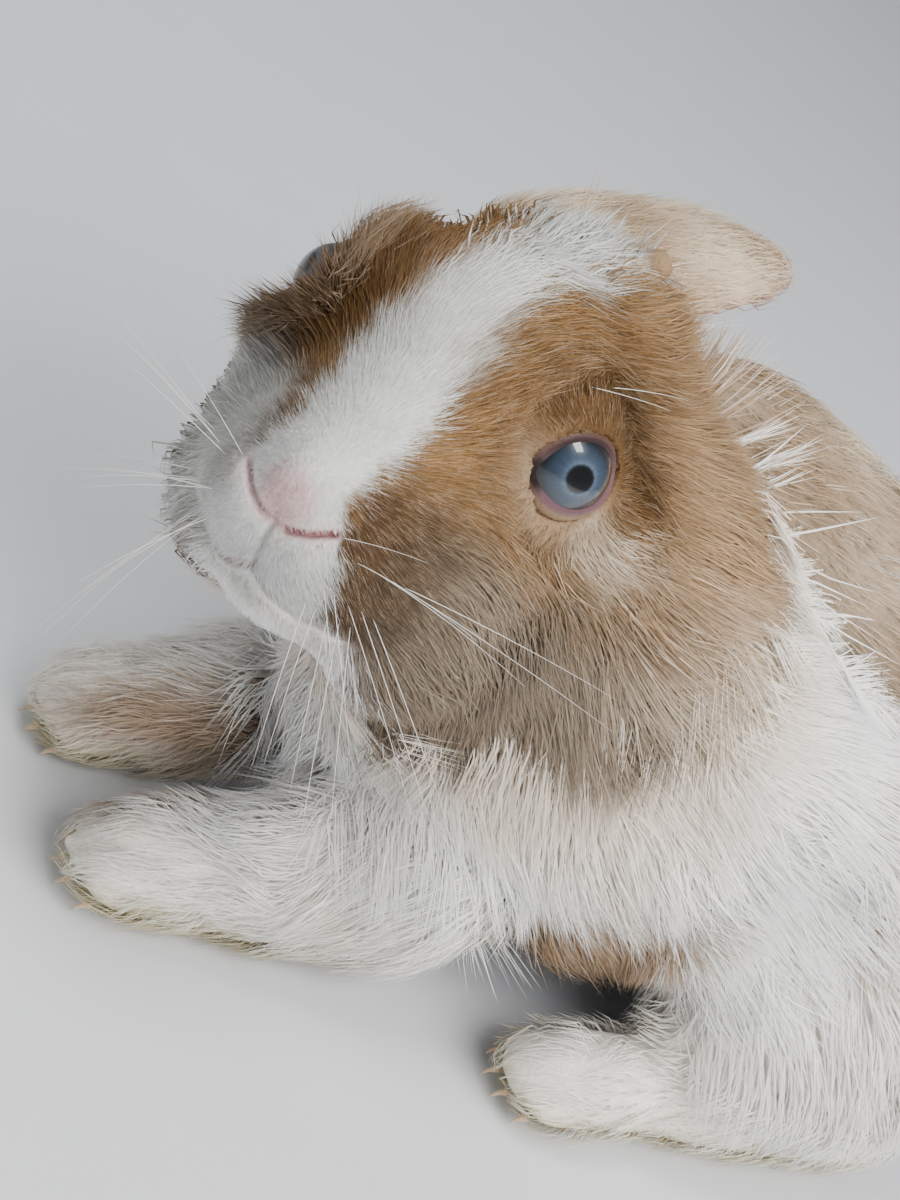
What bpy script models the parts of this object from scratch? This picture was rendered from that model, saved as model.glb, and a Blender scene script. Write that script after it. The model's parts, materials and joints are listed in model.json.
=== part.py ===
"""A holland lop rabbit at rest: crouched on its four feet, head raised and turned to its
left, ears laid back along the shoulders. Life size, in metres, facing -Y, left side +X."""

import math
from collections import namedtuple

import bmesh
import bpy
import numpy as np
from mathutils import Matrix, Vector

MM = 0.001
BELLY_CLEAR = 1.5e-3
GAP = 0.35 * MM

# The head's own frame: forward, left, up, measured from the point midway between the eyes.
HEAD_CENTRE = Vector((0.0, -88.0, 103.0)) * MM
HEAD_TURN = math.radians(36.0)
HEAD_LIFT = math.radians(12.0)
HEAD_TILT = math.radians(-5.0)

# Eyes, in the head's frame, in millimetres. The right eye mirrors the left.
EYE_RADIUS = 8.4
EYE_ROOT = (7.0, 11.5, 7.0)
EYE_FACING = (0.52, 0.83, 0.20)
EYE_CORNERS = (-0.90, 0.45, 0.42)
EYE_DEPTH = 5.2
LID_HALF_LENGTH = 7.2
LID_HALF_HEIGHT = 5.8
LID_THICKNESS = 1.3

# Lop ears: a leaf rolled into a tube at the root.
EAR_LENGTH = 92.0
EAR_WIDTH = 44.0
EAR_ROOT_WIDTH = 19.0
EAR_THICKNESS = 5.0
EAR_REST = 3.0
EAR_ARCH_LEFT = (-48.0, 29.0, 34.0)
EAR_ARCH_RIGHT = (-40.0, -24.0, 38.0)
EAR_LIE_LEFT = ((13.0, -3.0), (22.0, 12.0), (30.0, 28.0), (35.0, 43.0))
EAR_HELD_RIGHT = ((-50.0, -50.0, 133.5), (-51.5, -36.0, 136.5), (-51.5, -24.0, 137.5), (-50.0, -12.0, 137.0))

# Locks of the longer coat. The core under them stops half way to their tips.
COAT_DEPTH = 12.0
HAUNCH_COAT = 7.0
TAIL_COAT = 9.0
THROAT = np.array((0.0, -62.0, 84.0))
NOSE = np.array((46.0, 0.0, -12.0))
LOCK_SECTION = ((1.0, 0.0), (0.0, 0.36), (-1.0, 0.0), (0.0, -0.36))
LOCK_STATIONS = ((0.0, 0.72), (0.34, 1.0), (0.68, 0.70))
LOCK_SINK = 4.5

FUR_COLOURS = {
    "fawn": (0.48, 0.33, 0.20, 1.0),
    "white": (0.83, 0.80, 0.75, 1.0),
    "iris": (0.16, 0.22, 0.30, 1.0),
}

Mass = namedtuple("Mass", "centre radii blend in_head", defaults=(6.0, False))


def mirrored(masses):
    """The same masses, with a right-hand copy of each one that stands off the mid plane."""
    both = []
    for mass in masses:
        both.append(mass)
        if mass.centre[1] != 0.0:
            forward, left, up = mass.centre
            both.append(mass._replace(centre=(forward, -left, up)))
    return both


def body_masses(masses):
    """Masses given as (back, left, up) millimetres become (x, y, z) ones in world axes."""
    return [
        mass._replace(
            centre=(mass.centre[1], mass.centre[0], mass.centre[2]),
            radii=(mass.radii[1], mass.radii[0], mass.radii[2]),
        )
        for mass in masses
    ]


# Flesh and coat of the head, forward, left and up of the eyes' mid point.
HEAD_MASSES = [mass._replace(in_head=True) for mass in mirrored([
    Mass((-5.0, 0.0, 5.0), (37.0, 36.0, 35.0)),
    Mass((12.0, 0.0, 10.0), (23.0, 24.0, 25.0), 9.0),
    Mass((3.0, 15.5, -13.0), (29.0, 19.0, 25.0), 10.0),
    Mass((-6.0, 17.0, -29.0), (31.0, 20.0, 26.5), 12.0),
    Mass((26.0, 0.0, -12.0), (19.0, 20.0, 17.0), 12.0),
    Mass((30.0, 9.0, -21.0), (13.0, 13.0, 12.0), 8.0),
    Mass((39.0, 0.0, -12.0), (8.5, 8.6, 8.8), 3.0),
    Mass((37.0, 6.0, -22.0), (8.5, 7.8, 7.2), 3.5),
    Mass((25.0, 0.0, -32.0), (15.0, 14.0, 10.0), 7.0),
    Mass((9.0, 19.0, 18.0), (13.0, 9.0, 8.0), 7.0),
    Mass((-18.0, 0.0, 31.0), (23.0, 28.0, 17.0), 10.0),
    Mass((-30.0, 0.0, 0.0), (29.0, 38.0, 37.0), 12.0),
])]

# Flesh and coat of the trunk: back, left, up.
TRUNK_MASSES = body_masses(mirrored([
    Mass((-46.0, -6.0, 87.0), (34.0, 38.0, 38.0), 16.0),
    Mass((-54.0, 0.0, 56.0), (38.0, 40.0, 38.0), 16.0),
    Mass((-28.0, 25.0, 56.0), (36.0, 25.0, 43.0), 14.0),
    Mass((12.0, 0.0, 62.0), (64.0, 53.0, 58.0), 18.0),
    Mass((54.0, 0.0, 66.0), (54.0, 57.0, 62.0), 18.0),
    Mass((74.0, 0.0, 42.0), (36.0, 48.0, 38.0), 14.0),
]))
TRUNK_CENTRE = (0.0, 12.0, 62.0)
TRUNK_STRETCH = (0.85, 1.25, 0.9)

HAUNCH_MASSES = body_masses([
    Mass((42.0, 43.0, 44.0), (42.0, 23.0, 38.0), 8.0),
    Mass((22.0, 46.0, 30.0), (28.0, 20.0, 24.0), 10.0),
])
HIND_FOOT_MASSES = body_masses([
    Mass((48.0, 50.0, 12.0), (26.0, 11.0, 13.0), 6.0),
    Mass((16.0, 50.5, 11.0), (30.0, 12.0, 12.5), 8.0),
    Mass((-12.0, 51.0, 10.0), (17.0, 12.5, 11.5), 8.0),
])
FORELEG_MASSES = body_masses([
    Mass((-54.0, 27.0, 32.0), (19.0, 15.0, 27.0), 8.0),
    Mass((-74.0, 24.0, 19.0), (21.0, 13.5, 18.0), 9.0),
    Mass((-96.0, 21.0, 12.0), (20.0, 13.5, 13.0), 8.0),
])
TAIL_MASSES = body_masses([
    Mass((108.0, 0.0, 46.0), (13.0, 15.0, 19.0), 6.0),
    Mass((104.0, 0.0, 64.0), (12.0, 13.0, 17.0), 8.0),
])

TOE_RADIUS = 5.0
TOE_SPREAD = 6.2


def clear_scene():
    """Leaves no objects behind from before."""
    for old in list(bpy.data.objects):
        bpy.data.objects.remove(old, do_unlink=True)


def new_collection(name, shown=True):
    """A collection under the scene's own."""
    made = bpy.data.collections.new(name)
    made.hide_render = not shown
    bpy.context.scene.collection.children.link(made)
    return made


def coat_material(name, colour, roughness=0.85):
    """A plain Principled material for one finish."""
    made = bpy.data.materials.new(name)
    made.use_nodes = True
    shader = made.node_tree.nodes["Principled BSDF"]
    shader.inputs["Base Color"].default_value = colour
    shader.inputs["Roughness"].default_value = roughness
    shader.inputs["Metallic"].default_value = 0.0
    made.diffuse_color = colour
    return made


def head_matrix():
    """Head millimetres (forward, left, up) to world metres."""
    forward = Vector((math.sin(HEAD_TURN), -math.cos(HEAD_TURN), 0.0))
    left = Vector((math.cos(HEAD_TURN), math.sin(HEAD_TURN), 0.0))
    up = Vector((0.0, 0.0, 1.0))
    lifted = forward * math.cos(HEAD_LIFT) + up * math.sin(HEAD_LIFT)
    up = up * math.cos(HEAD_LIFT) - forward * math.sin(HEAD_LIFT)
    tilted = up * math.cos(HEAD_TILT) + left * math.sin(HEAD_TILT)
    left = left * math.cos(HEAD_TILT) - up * math.sin(HEAD_TILT)
    turn = Matrix((lifted, left, tilted)).transposed()
    return Matrix.Translation(HEAD_CENTRE) @ turn.to_4x4() @ Matrix.Scale(MM, 4)


def in_head_frame(points):
    """World millimetres to the head's own."""
    turn = np.array(head_matrix().to_3x3()) / MM
    return (points - np.array(HEAD_CENTRE) / MM) @ turn


def to_world(point):
    """A point in the head's frame, in world millimetres."""
    return np.array(head_matrix() @ Vector(point)) / MM


def mass_distance(points, mass):
    """Roughly how far each point is outside one ellipsoid; below zero inside it."""
    radii = np.array(mass.radii)
    local = points - np.array(mass.centre)
    reach = np.linalg.norm(local / radii, axis=1)
    slope = np.linalg.norm(local / radii**2, axis=1)
    return reach * (reach - 1.0) / np.maximum(slope, 1e-9)


def smooth_least(first, second, blend):
    """The smaller of two distances, rounded off over the blend where they are alike."""
    share = np.clip(0.5 + 0.5 * (second - first) / blend, 0.0, 1.0)
    return second * (1.0 - share) + first * share - blend * share * (1.0 - share)


def ramp(values, start, end):
    """0 before the start and 1 past the end, with a smooth rise between them."""
    share = np.clip((values - start) / (end - start), 0.0, 1.0)
    return share * share * (3.0 - 2.0 * share)


def body_coat(points):
    """How far the core of head and trunk lies beneath the tips of the coat: nothing on the
    face and round the eyes, and half the coat's depth behind them."""
    head = in_head_frame(points)
    bare = ramp(-head[:, 0], -24.0, 6.0)
    for side in (1.0, -1.0):
        eye = np.linalg.norm(head - np.array((13.0, side * 27.0, 6.0)), axis=1)
        bare = bare * ramp(eye, 13.0, 27.0)
    return 0.5 * COAT_DEPTH * bare


def haunch_coat(points):
    """The same for a haunch, which is bare at the foot."""
    return 0.5 * HAUNCH_COAT * ramp(points[:, 2], 16.0, 34.0)


def tail_coat(points):
    """The same for the tail."""
    return np.full(len(points), 0.5 * TAIL_COAT)


def form_distance(points, masses, stop=None, coat=None):
    """Distance of world points, in millimetres, from the skin of masses that flow into one
    another. A stop is a plane (a point, and the way it faces) that ends the form there.
    A coat draws the skin in under its locks."""
    in_head = in_head_frame(points)
    total = np.full(len(points), 1e3)
    for mass in masses:
        found = mass_distance(in_head if mass.in_head else points, mass)
        total = smooth_least(total, found, mass.blend)
    if coat:
        total = total + coat(points)
    if stop:
        total = np.maximum(total, (points - stop[0]) @ stop[1])
    return total


def first_exit(origin, directions, masses, stop=None, coat=None, reach=170.0, steps=120):
    """Where rays from inside a form first leave it, in millimetres along each ray."""
    near = np.zeros(len(directions))
    far = np.full(len(directions), reach)
    inside = np.ones(len(directions), bool)
    for along in np.linspace(reach / steps, reach, steps):
        points = origin + directions[inside] * along
        out = form_distance(points, masses, stop, coat) > 0.0
        rows = np.flatnonzero(inside)
        near[rows[~out]] = along
        far[rows[out]] = along
        inside[rows[out]] = False
        if not inside.any():
            break
    for _ in range(12):
        middle = (near + far) / 2.0
        out = form_distance(origin + directions * middle[:, None], masses, stop, coat) > 0.0
        far = np.where(out, middle, far)
        near = np.where(out, near, middle)
    return (near + far) / 2.0


def grown_form(name, masses, centre, faces, stop=None, stretch=(1, 1, 1), fineness=6, coat=None):
    """An icosphere whose vertices move out from the centre to the skin of the masses,
    thinned to about so many triangles. Masses and centre are in millimetres."""
    ball = bmesh.new()
    bmesh.ops.create_icosphere(ball, subdivisions=fineness, radius=1.0)
    directions = np.array([vertex.co for vertex in ball.verts]) * np.array(stretch)
    directions /= np.linalg.norm(directions, axis=1)[:, None]
    origin = np.array(centre)
    reach = first_exit(origin, directions, masses, stop, coat)
    for vertex, direction, length in zip(ball.verts, directions, reach):
        vertex.co = Vector(origin + direction * length) * MM
    mesh = bpy.data.meshes.new(name)
    ball.to_mesh(mesh)
    ball.free()
    form = bpy.data.objects.new(name, mesh)
    bpy.context.scene.collection.objects.link(form)
    thin = form.modifiers.new("thin", "DECIMATE")
    thin.ratio = min(1.0, faces / len(mesh.polygons))
    return settled(form)


def smooth_path(points, count):
    """Evenly numbered points on a smooth curve through the given ones."""
    given = [np.array(point, float) for point in points]
    given = [2 * given[0] - given[1], *given, 2 * given[-1] - given[-2]]
    spans = len(given) - 3
    found = []
    for step in range(count):
        at = step / (count - 1) * spans
        span = min(int(at), spans - 1)
        u = at - span
        a, b, c, d = given[span:span + 4]
        found.append(0.5 * (2 * b + (c - a) * u + (2 * a - 5 * b + 4 * c - d) * u**2 + (3 * b - a - 3 * c + d) * u**3))
    return found


def on_back(x, y, above):
    """The point so far above the coat of the trunk, straight over a point of its middle."""
    way = np.array((0.0, 0.0, 1.0))[None, :]
    height = first_exit((x, y, 40.0), way, HEAD_MASSES + TRUNK_MASSES)[0]
    return np.array((x, y, 40.0 + height + above))


def ear_path(side):
    """The middle line of an ear, in world millimetres: out of the head, over the collar and
    back, the left one resting on the shoulder and the right one held off it."""
    root = to_world((-31.0, side * 20.0, 22.0))
    arch = to_world(EAR_ARCH_LEFT if side > 0.0 else EAR_ARCH_RIGHT)
    over = [on_back(x, y, EAR_REST) for x, y in EAR_LIE_LEFT] if side > 0.0 else EAR_HELD_RIGHT
    return smooth_path([root, arch, *over], 9)


def ear_width(share):
    """The width of an ear at a share of the way from root to tip."""
    swell = math.sin(math.pi * min(1.0, 0.18 + 0.62 * share)) ** 1.2
    width = EAR_ROOT_WIDTH + (EAR_WIDTH - EAR_ROOT_WIDTH) * swell
    if share > 0.72:
        width *= math.sqrt(max(0.0, 1.0 - ((share - 0.72) / 0.30) ** 2))
    return width


def clear_of_ears(points, margin=3.0):
    """Whether points stand clear of what the ears cover."""
    clear = np.ones(len(points), bool)
    for side in (1.0, -1.0):
        path = ear_path(side)
        for step, middle in enumerate(path):
            reach = 0.5 * ear_width(step / (len(path) - 1)) + margin
            clear &= np.linalg.norm(points - middle, axis=1) > reach
    return clear


def spread_directions(count, stretch=(1.0, 1.0, 1.0)):
    """Directions spread evenly over a sphere along a spiral."""
    number = np.arange(count) + 0.5
    height = 1.0 - 2.0 * number / count
    turn = number * math.pi * (3.0 - math.sqrt(5.0))
    flat = np.sqrt(1.0 - height**2)
    found = np.stack([flat * np.cos(turn), flat * np.sin(turn), height], axis=1) * np.array(stretch)
    return found / np.linalg.norm(found, axis=1)[:, None]


def outward_of(points, masses, coat):
    """The way the skin of the masses faces at each point."""
    slope = np.stack([
        form_distance(points + step, masses, None, coat) - form_distance(points - step, masses, None, coat)
        for step in np.eye(3) * 0.5
    ], axis=1)
    return slope / np.linalg.norm(slope, axis=1)[:, None]


def lie_of_coat(points, outward):
    """The way the hair lies: away from the nose on the head, away from the throat and
    downwards behind it."""
    head = in_head_frame(points)
    turn = np.array(head_matrix().to_3x3()) / MM
    face = (head - NOSE) @ turn.T
    face /= np.linalg.norm(face, axis=1)[:, None]
    trunk = points - THROAT
    trunk /= np.linalg.norm(trunk, axis=1)[:, None]
    behind = ramp(-head[:, 0], 14.0, 44.0)[:, None]
    lie = face * (1.0 - behind) + trunk * behind - np.array((0.0, 0.0, 0.35))
    lie -= outward * (lie * outward).sum(axis=1)[:, None]
    return lie / np.linalg.norm(lie, axis=1)[:, None]


def lock(root, lie, outward, length, width, rise, sway, fall):
    """One flat, tapered lock: rooted under the core's skin, bent over to lie along it, its
    tip standing as far off it as the rise says. The skin falls away under the tip by fall."""
    blade = bmesh.new()
    side = np.cross(lie, outward)
    lie = lie * math.cos(sway) + side * math.sin(sway)
    side = np.cross(lie, outward)
    rings = []
    for share, full in LOCK_STATIONS:
        height = -LOCK_SINK + (rise + LOCK_SINK) * math.sin(0.5 * math.pi * min(1.0, share * 1.15))
        middle = root + lie * length * share + outward * (height - fall * share * share)
        rings.append([
            blade.verts.new((middle + (side * across + outward * thick) * width * full / 2.0) * MM)
            for across, thick in LOCK_SECTION
        ])
    tip = blade.verts.new((root + lie * length + outward * (rise * 0.8 - fall)) * MM)
    count = len(LOCK_SECTION)
    for here, there in zip(rings, rings[1:]):
        for number in range(count):
            after = (number + 1) % count
            blade.faces.new((here[number], here[after], there[after], there[number]))
    for number in range(count):
        blade.faces.new((rings[-1][number], rings[-1][(number + 1) % count], tip))
    blade.faces.new(rings[0])
    bmesh.ops.recalc_face_normals(blade, faces=blade.faces)
    mesh = bpy.data.meshes.new("lock")
    blade.to_mesh(mesh)
    blade.free()
    made = bpy.data.objects.new("lock", mesh)
    bpy.context.scene.collection.objects.link(made)
    return made


def grow_locks(masses, centre, count, coat, depth, wanted, length, width, seed, lie=lie_of_coat, stretch=(1, 1, 1)):
    """Locks spread evenly over the skin of a form where they are wanted."""
    draw = np.random.default_rng(seed)
    ways = spread_directions(count, stretch)
    origin = np.array(centre, float)
    roots = origin + ways * first_exit(origin, ways, masses, None, coat)[:, None]
    roots = roots[wanted(roots)]
    outward = outward_of(roots, masses, coat)
    lies = lie(roots, outward)
    free = clear_of_ears(roots) & clear_of_ears(roots + lies * length * 0.5) & clear_of_ears(roots + lies * length)
    roots, outward, lies = roots[free], outward[free], lies[free]
    falls = np.clip(form_distance(roots + lies * length, masses, None, coat), -3.0, 14.0)
    return [
        lock(
            root, lie_here, out_here,
            length * draw.uniform(0.85, 1.15), width * draw.uniform(0.85, 1.15),
            0.5 * depth * draw.uniform(0.8, 1.15), math.radians(draw.uniform(-16.0, 16.0)), fall,
        )
        for root, lie_here, out_here, fall in zip(roots, lies, outward, falls)
    ]


def settled(form):
    """Applies an object's modifiers, so that its mesh is what the viewport shows."""
    graph = bpy.context.evaluated_depsgraph_get()
    mesh = bpy.data.meshes.new_from_object(form.evaluated_get(graph))
    old = form.data
    form.modifiers.clear()
    form.data = mesh
    mesh.name = form.name
    if isinstance(old, bpy.types.Mesh):
        bpy.data.meshes.remove(old)
    return form


def largest_body(mesh):
    """Keeps only the largest closed surface of a mesh, and says whether it is closed."""
    solid = bmesh.new()
    solid.from_mesh(mesh)
    bmesh.ops.remove_doubles(solid, verts=solid.verts, dist=0.001 * MM)
    bmesh.ops.triangulate(solid, faces=solid.faces)
    loose = set(solid.faces)
    bodies = []
    while loose:
        seed = loose.pop()
        body, edge = {seed}, [seed]
        while edge:
            for side in edge.pop().edges:
                for face in side.link_faces:
                    if face in loose:
                        loose.remove(face)
                        body.add(face)
                        edge.append(face)
        bodies.append(body)
    bodies.sort(key=lambda body: sum(face.calc_area() for face in body))
    for body in bodies[:-1]:
        bmesh.ops.delete(solid, geom=list(body), context="FACES")
    closed = len(solid.faces) > 3 and all(len(edge.link_faces) == 2 for edge in solid.edges)
    solid.to_mesh(mesh)
    solid.free()
    return closed


def combine(form, others, operation):
    """One Boolean of a form with several closed meshes, applied; the others are removed."""
    group = bpy.data.collections.new("pieces of " + form.name)
    for other in others:
        group.objects.link(other)
    step = form.modifiers.new("combine", "BOOLEAN")
    step.operation = operation
    step.operand_type = "COLLECTION"
    step.collection = group
    step.use_self = operation == "DIFFERENCE"
    for solver in ("EXACT", "MANIFOLD"):
        step.solver = solver
        graph = bpy.context.evaluated_depsgraph_get()
        mesh = bpy.data.meshes.new_from_object(form.evaluated_get(graph))
        if largest_body(mesh):
            break
    form.modifiers.clear()
    form.data = mesh
    for other in others:
        bpy.data.objects.remove(other, do_unlink=True)
    bpy.data.collections.remove(group)
    return form


def twin(form):
    """A copy of a form with its own mesh."""
    copy = form.copy()
    copy.data = form.data.copy()
    bpy.context.scene.collection.objects.link(copy)
    return copy


def clear_of(form, neighbours):
    """Cuts a form clear of its neighbours, one by one, with the gap between them."""
    for neighbour in neighbours:
        combine(form, [swollen(neighbour)], "DIFFERENCE")
        combine(form, [twin(neighbour)], "DIFFERENCE")
    return form


def swollen(form, by=GAP):
    """A copy of a form with its surface moved out by the gap, to cut a neighbour with."""
    copy = twin(form)
    mesh = copy.data
    normals = [vertex.normal.copy() for vertex in mesh.vertices]
    for vertex, normal in zip(mesh.vertices, normals):
        vertex.co += normal * by
    return copy


def half_space(point, facing, reach=0.5):
    """A box that fills all that lies past a point in the direction it faces."""
    bpy.ops.mesh.primitive_cube_add(size=reach)
    box = bpy.context.object
    facing = Vector(facing).normalized()
    turn = facing.to_track_quat("Z", "Y").to_matrix().to_4x4()
    shift = Matrix.Translation(Vector(point) + facing * reach / 2.0)
    box.data.transform(shift @ turn)
    return box


def ball_at(centre, radius, segments=16, rings=10, name="ball"):
    """A UV sphere in world metres."""
    bpy.ops.mesh.primitive_uv_sphere_add(segments=segments, ring_count=rings, radius=radius, location=centre)
    ball = bpy.context.object
    ball.data.transform(ball.matrix_basis)
    ball.matrix_basis = Matrix.Identity(4)
    ball.name = name
    return ball


def rope(points, radius, matrix=None, sides=2):
    """A round rod through points, closed at both ends, as a mesh."""
    line = bpy.data.curves.new("rope", "CURVE")
    line.dimensions = "3D"
    line.bevel_depth = radius
    line.bevel_resolution = sides
    line.use_fill_caps = True
    path = line.splines.new("POLY")
    path.points.add(len(points) - 1)
    for place, point in zip(path.points, points):
        at = matrix @ Vector(point) if matrix else Vector(point)
        place.co = (*at, 1.0)
    curve = bpy.data.objects.new("rope", line)
    bpy.context.scene.collection.objects.link(curve)
    graph = bpy.context.evaluated_depsgraph_get()
    mesh = bpy.data.meshes.new_from_object(curve.evaluated_get(graph))
    rod = bpy.data.objects.new("rod", mesh)
    bpy.context.scene.collection.objects.link(rod)
    bpy.data.objects.remove(curve, do_unlink=True)
    bpy.data.curves.remove(line)
    solid = bmesh.new()
    solid.from_mesh(mesh)
    bmesh.ops.remove_doubles(solid, verts=solid.verts, dist=0.01 * MM)
    bmesh.ops.recalc_face_normals(solid, faces=solid.faces)
    solid.to_mesh(mesh)
    solid.free()
    return rod


def surface_point(inner, way, sink=0.0):
    """The point where a ray from a point inside the head leaves it, sunk in a little,
    all in the head's frame."""
    turn = np.array(head_matrix().to_3x3()) / MM
    way = np.array(way) / np.linalg.norm(way)
    ahead = (turn @ way)[None, :]
    length = first_exit(to_world(inner), ahead, HEAD_MASSES + TRUNK_MASSES)[0]
    return np.array(inner) + way * (length - sink)


def on_face(point, sink=0.0):
    """A point of the muzzle's surface, seen from inside the muzzle."""
    inner = np.array((10.0, 0.0, -12.0))
    return surface_point(inner, np.array(point) - inner, sink)


def eye_centre(side):
    """The middle of an eyeball, sunk so that the eye stands out of the face a little."""
    flip = np.array((1.0, side, 1.0))
    return surface_point(np.array(EYE_ROOT) * flip, np.array(EYE_FACING) * flip, EYE_DEPTH)


def eye_frame(side):
    """Eye millimetres (along the lids, up across them, out of the eye) to world metres."""
    flip = np.array((1.0, side, 1.0))
    outward = Vector(np.array(EYE_FACING) * flip).normalized()
    along = Vector(np.array(EYE_CORNERS) * flip)
    along = (along - outward * along.dot(outward)).normalized()
    across = outward.cross(along)
    if across.z < 0.0:
        across = -across
    turn = Matrix((along, across, outward)).transposed().to_4x4()
    return head_matrix() @ Matrix.Translation(eye_centre(side)) @ turn


def lid_ring(side, turns=22, sides=5):
    """The rim of the lids: an almond ring that lies on the eyeball."""
    ring = bmesh.new()
    place = eye_frame(side)
    seat = EYE_RADIUS + 0.25
    loops = []
    for turn in range(turns):
        angle = 2.0 * math.pi * turn / turns
        along = LID_HALF_LENGTH * math.cos(angle)
        across = LID_HALF_HEIGHT * math.sin(angle) * (1.0 - 0.22 * abs(math.cos(angle)) ** 3)
        height = math.sqrt(max(seat**2 - along**2 - across**2, 4.0))
        middle = Vector((along, across, height))
        outward = Vector((math.cos(angle), math.sin(angle), 0.15)).normalized()
        lift = Vector((0.0, 0.0, 1.0))
        loop = []
        for side_step in range(sides):
            around = 2.0 * math.pi * side_step / sides
            offset = outward * math.cos(around) * 1.5 + lift * math.sin(around)
            loop.append(ring.verts.new(place @ (middle + offset * LID_THICKNESS)))
        loops.append(loop)
    for turn in range(turns):
        here, there = loops[turn], loops[(turn + 1) % turns]
        for step in range(sides):
            after = (step + 1) % sides
            ring.faces.new((here[step], there[step], there[after], here[after]))
    bmesh.ops.recalc_face_normals(ring, faces=ring.faces)
    mesh = bpy.data.meshes.new("lid")
    ring.to_mesh(mesh)
    ring.free()
    lid = bpy.data.objects.new("lid", mesh)
    bpy.context.scene.collection.objects.link(lid)
    return lid


def lid_opening(side):
    """A cutter for the almond between the lids, wider outside the face."""
    bpy.ops.mesh.primitive_cone_add(vertices=28, radius1=0.55, radius2=1.12, depth=1.0, end_fill_type="NGON")
    cone = bpy.context.object
    cone.data.transform(Matrix.Translation((0.0, 0.0, 0.5)))
    cone.data.transform(Matrix.Diagonal((LID_HALF_LENGTH - 0.6, LID_HALF_HEIGHT - 0.6, 14.0, 1.0)))
    cone.data.transform(eye_frame(side))
    return cone


def make_eye(side, name):
    """The eyeball."""
    return ball_at(head_matrix() @ Vector(eye_centre(side)), EYE_RADIUS * MM, name=name)


def muzzle_lines():
    """Cutters for the nostril slits, the cleft of the upper lip and the mouth."""
    place = head_matrix()
    cutters = []
    for side in (1.0, -1.0):
        slit = [(46.0, 0.0, -20.5), (45.0, side * 3.0, -20.0), (43.5, side * 6.3, -18.0), (41.0, side * 9.5, -15.0)]
        cutters.append(rope([on_face(point, 0.3) for point in slit], 0.95 * MM, place))
        lips = [
            (42.0, 0.0, -29.5), (40.0, side * 4.0, -31.5), (37.0, side * 8.5, -32.5),
            (32.0, side * 12.5, -32.0), (27.0, side * 16.0, -30.5),
        ]
        cutters.append(rope([on_face(point, 0.2) for point in lips], 0.9 * MM, place))
    cleft = [(46.5, 0.0, -19.5), (46.0, 0.0, -23.0), (45.0, 0.0, -26.0), (42.0, 0.0, -30.0)]
    cutters.append(rope([on_face(point, 0.2) for point in cleft], 0.9 * MM, place))
    return cutters


def make_head():
    """The head: one form with the lids raised round the eyes and the muzzle's lines cut in."""
    point, facing = neck_plane()
    stop = (np.array(point + facing * 2.0 * MM) / MM, np.array(facing))
    centre = to_world((0.0, 0.0, -4.0))
    masses = HEAD_MASSES + TRUNK_MASSES
    head = grown_form("head", masses, centre, 1900, stop, coat=body_coat)

    def wanted(roots):
        """Behind the face and well short of the collar."""
        before_collar = (np.array(point) / MM - roots) @ np.array(facing)
        return (body_coat(roots) > 0.26 * COAT_DEPTH) & (before_collar > 6.0)

    locks = grow_locks(masses, centre, 98, body_coat, COAT_DEPTH, wanted, 26.0, 16.0, 11)
    combine(head, [lid_ring(1.0), lid_ring(-1.0), *locks], "UNION")
    sockets = [
        ball_at(head_matrix() @ Vector(eye_centre(side)), EYE_RADIUS * MM + GAP, 24, 14)
        for side in (1.0, -1.0)
    ]
    openings = [lid_opening(1.0), lid_opening(-1.0)]
    combine(head, sockets + openings + muzzle_lines() + [half_space(point, facing)], "DIFFERENCE")
    return head


def neck_plane():
    """A point and direction of the cut between head and neck."""
    place = head_matrix()
    turn = place.to_3x3().normalized()
    return place @ Vector((-14.0, 0.0, -20.0)), (turn @ Vector((-0.81, 0.0, -0.59))).normalized()


def make_ear(side, name, neighbours):
    """A lop ear: a leaf with a rolled root and a cupped inner side that faces the shoulder,
    cleared of the forms that it rests on."""
    path = ear_path(side)
    across_steps = 5
    leaf = bmesh.new()
    rows = []
    for step, middle in enumerate(path):
        share = step / (len(path) - 1)
        ahead = path[min(step + 1, len(path) - 1)] - path[max(step - 1, 0)]
        ahead = Vector(ahead).normalized()
        outward = Vector((0.35 + 0.45 * share if side > 0.0 else -0.15, -0.15, 1.0))
        outward = (outward - ahead * outward.dot(ahead)).normalized()
        across = ahead.cross(outward)
        width = ear_width(share)
        curl = math.radians(108.0 * (1.0 - share) ** 2 + 36.0)
        bend = width / 2.0 / max(math.sin(min(curl, math.pi / 2.0)), 0.2)
        row = []
        for number in range(across_steps + 1):
            angle = curl * (2.0 * number / across_steps - 1.0)
            shift = across * bend * math.sin(angle) + outward * bend * (math.cos(angle) - 1.0)
            row.append(leaf.verts.new((Vector(middle) + shift) * MM))
        rows.append(row)
    for here, there in zip(rows, rows[1:]):
        for number in range(across_steps):
            leaf.faces.new((here[number], here[number + 1], there[number + 1], there[number]))
    bmesh.ops.recalc_face_normals(leaf, faces=leaf.faces)
    mesh = bpy.data.meshes.new(name)
    leaf.to_mesh(mesh)
    leaf.free()
    ear = bpy.data.objects.new(name, mesh)
    bpy.context.scene.collection.objects.link(ear)
    wall = ear.modifiers.new("wall", "SOLIDIFY")
    wall.thickness = EAR_THICKNESS * MM
    wall.offset = 0.0
    wall.use_even_offset = True
    round_off = ear.modifiers.new("round", "SUBSURF")
    round_off.levels = 1
    round_off.render_levels = 1
    settled(ear)
    return clear_of(ear, neighbours)


def toes(toe_tip, width, count=4):
    """Rounded toes side by side at the front of a foot, as masses in world millimetres."""
    x, y, z = toe_tip
    found = []
    for number in range(count):
        off = number - (count - 1) / 2.0
        back = 1.6 * off * off
        found.append(Mass((x + off * width, y + back, z), (TOE_RADIUS * 0.85, TOE_RADIUS * 1.9, TOE_RADIUS * 1.25), 1.6))
    return found


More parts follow.
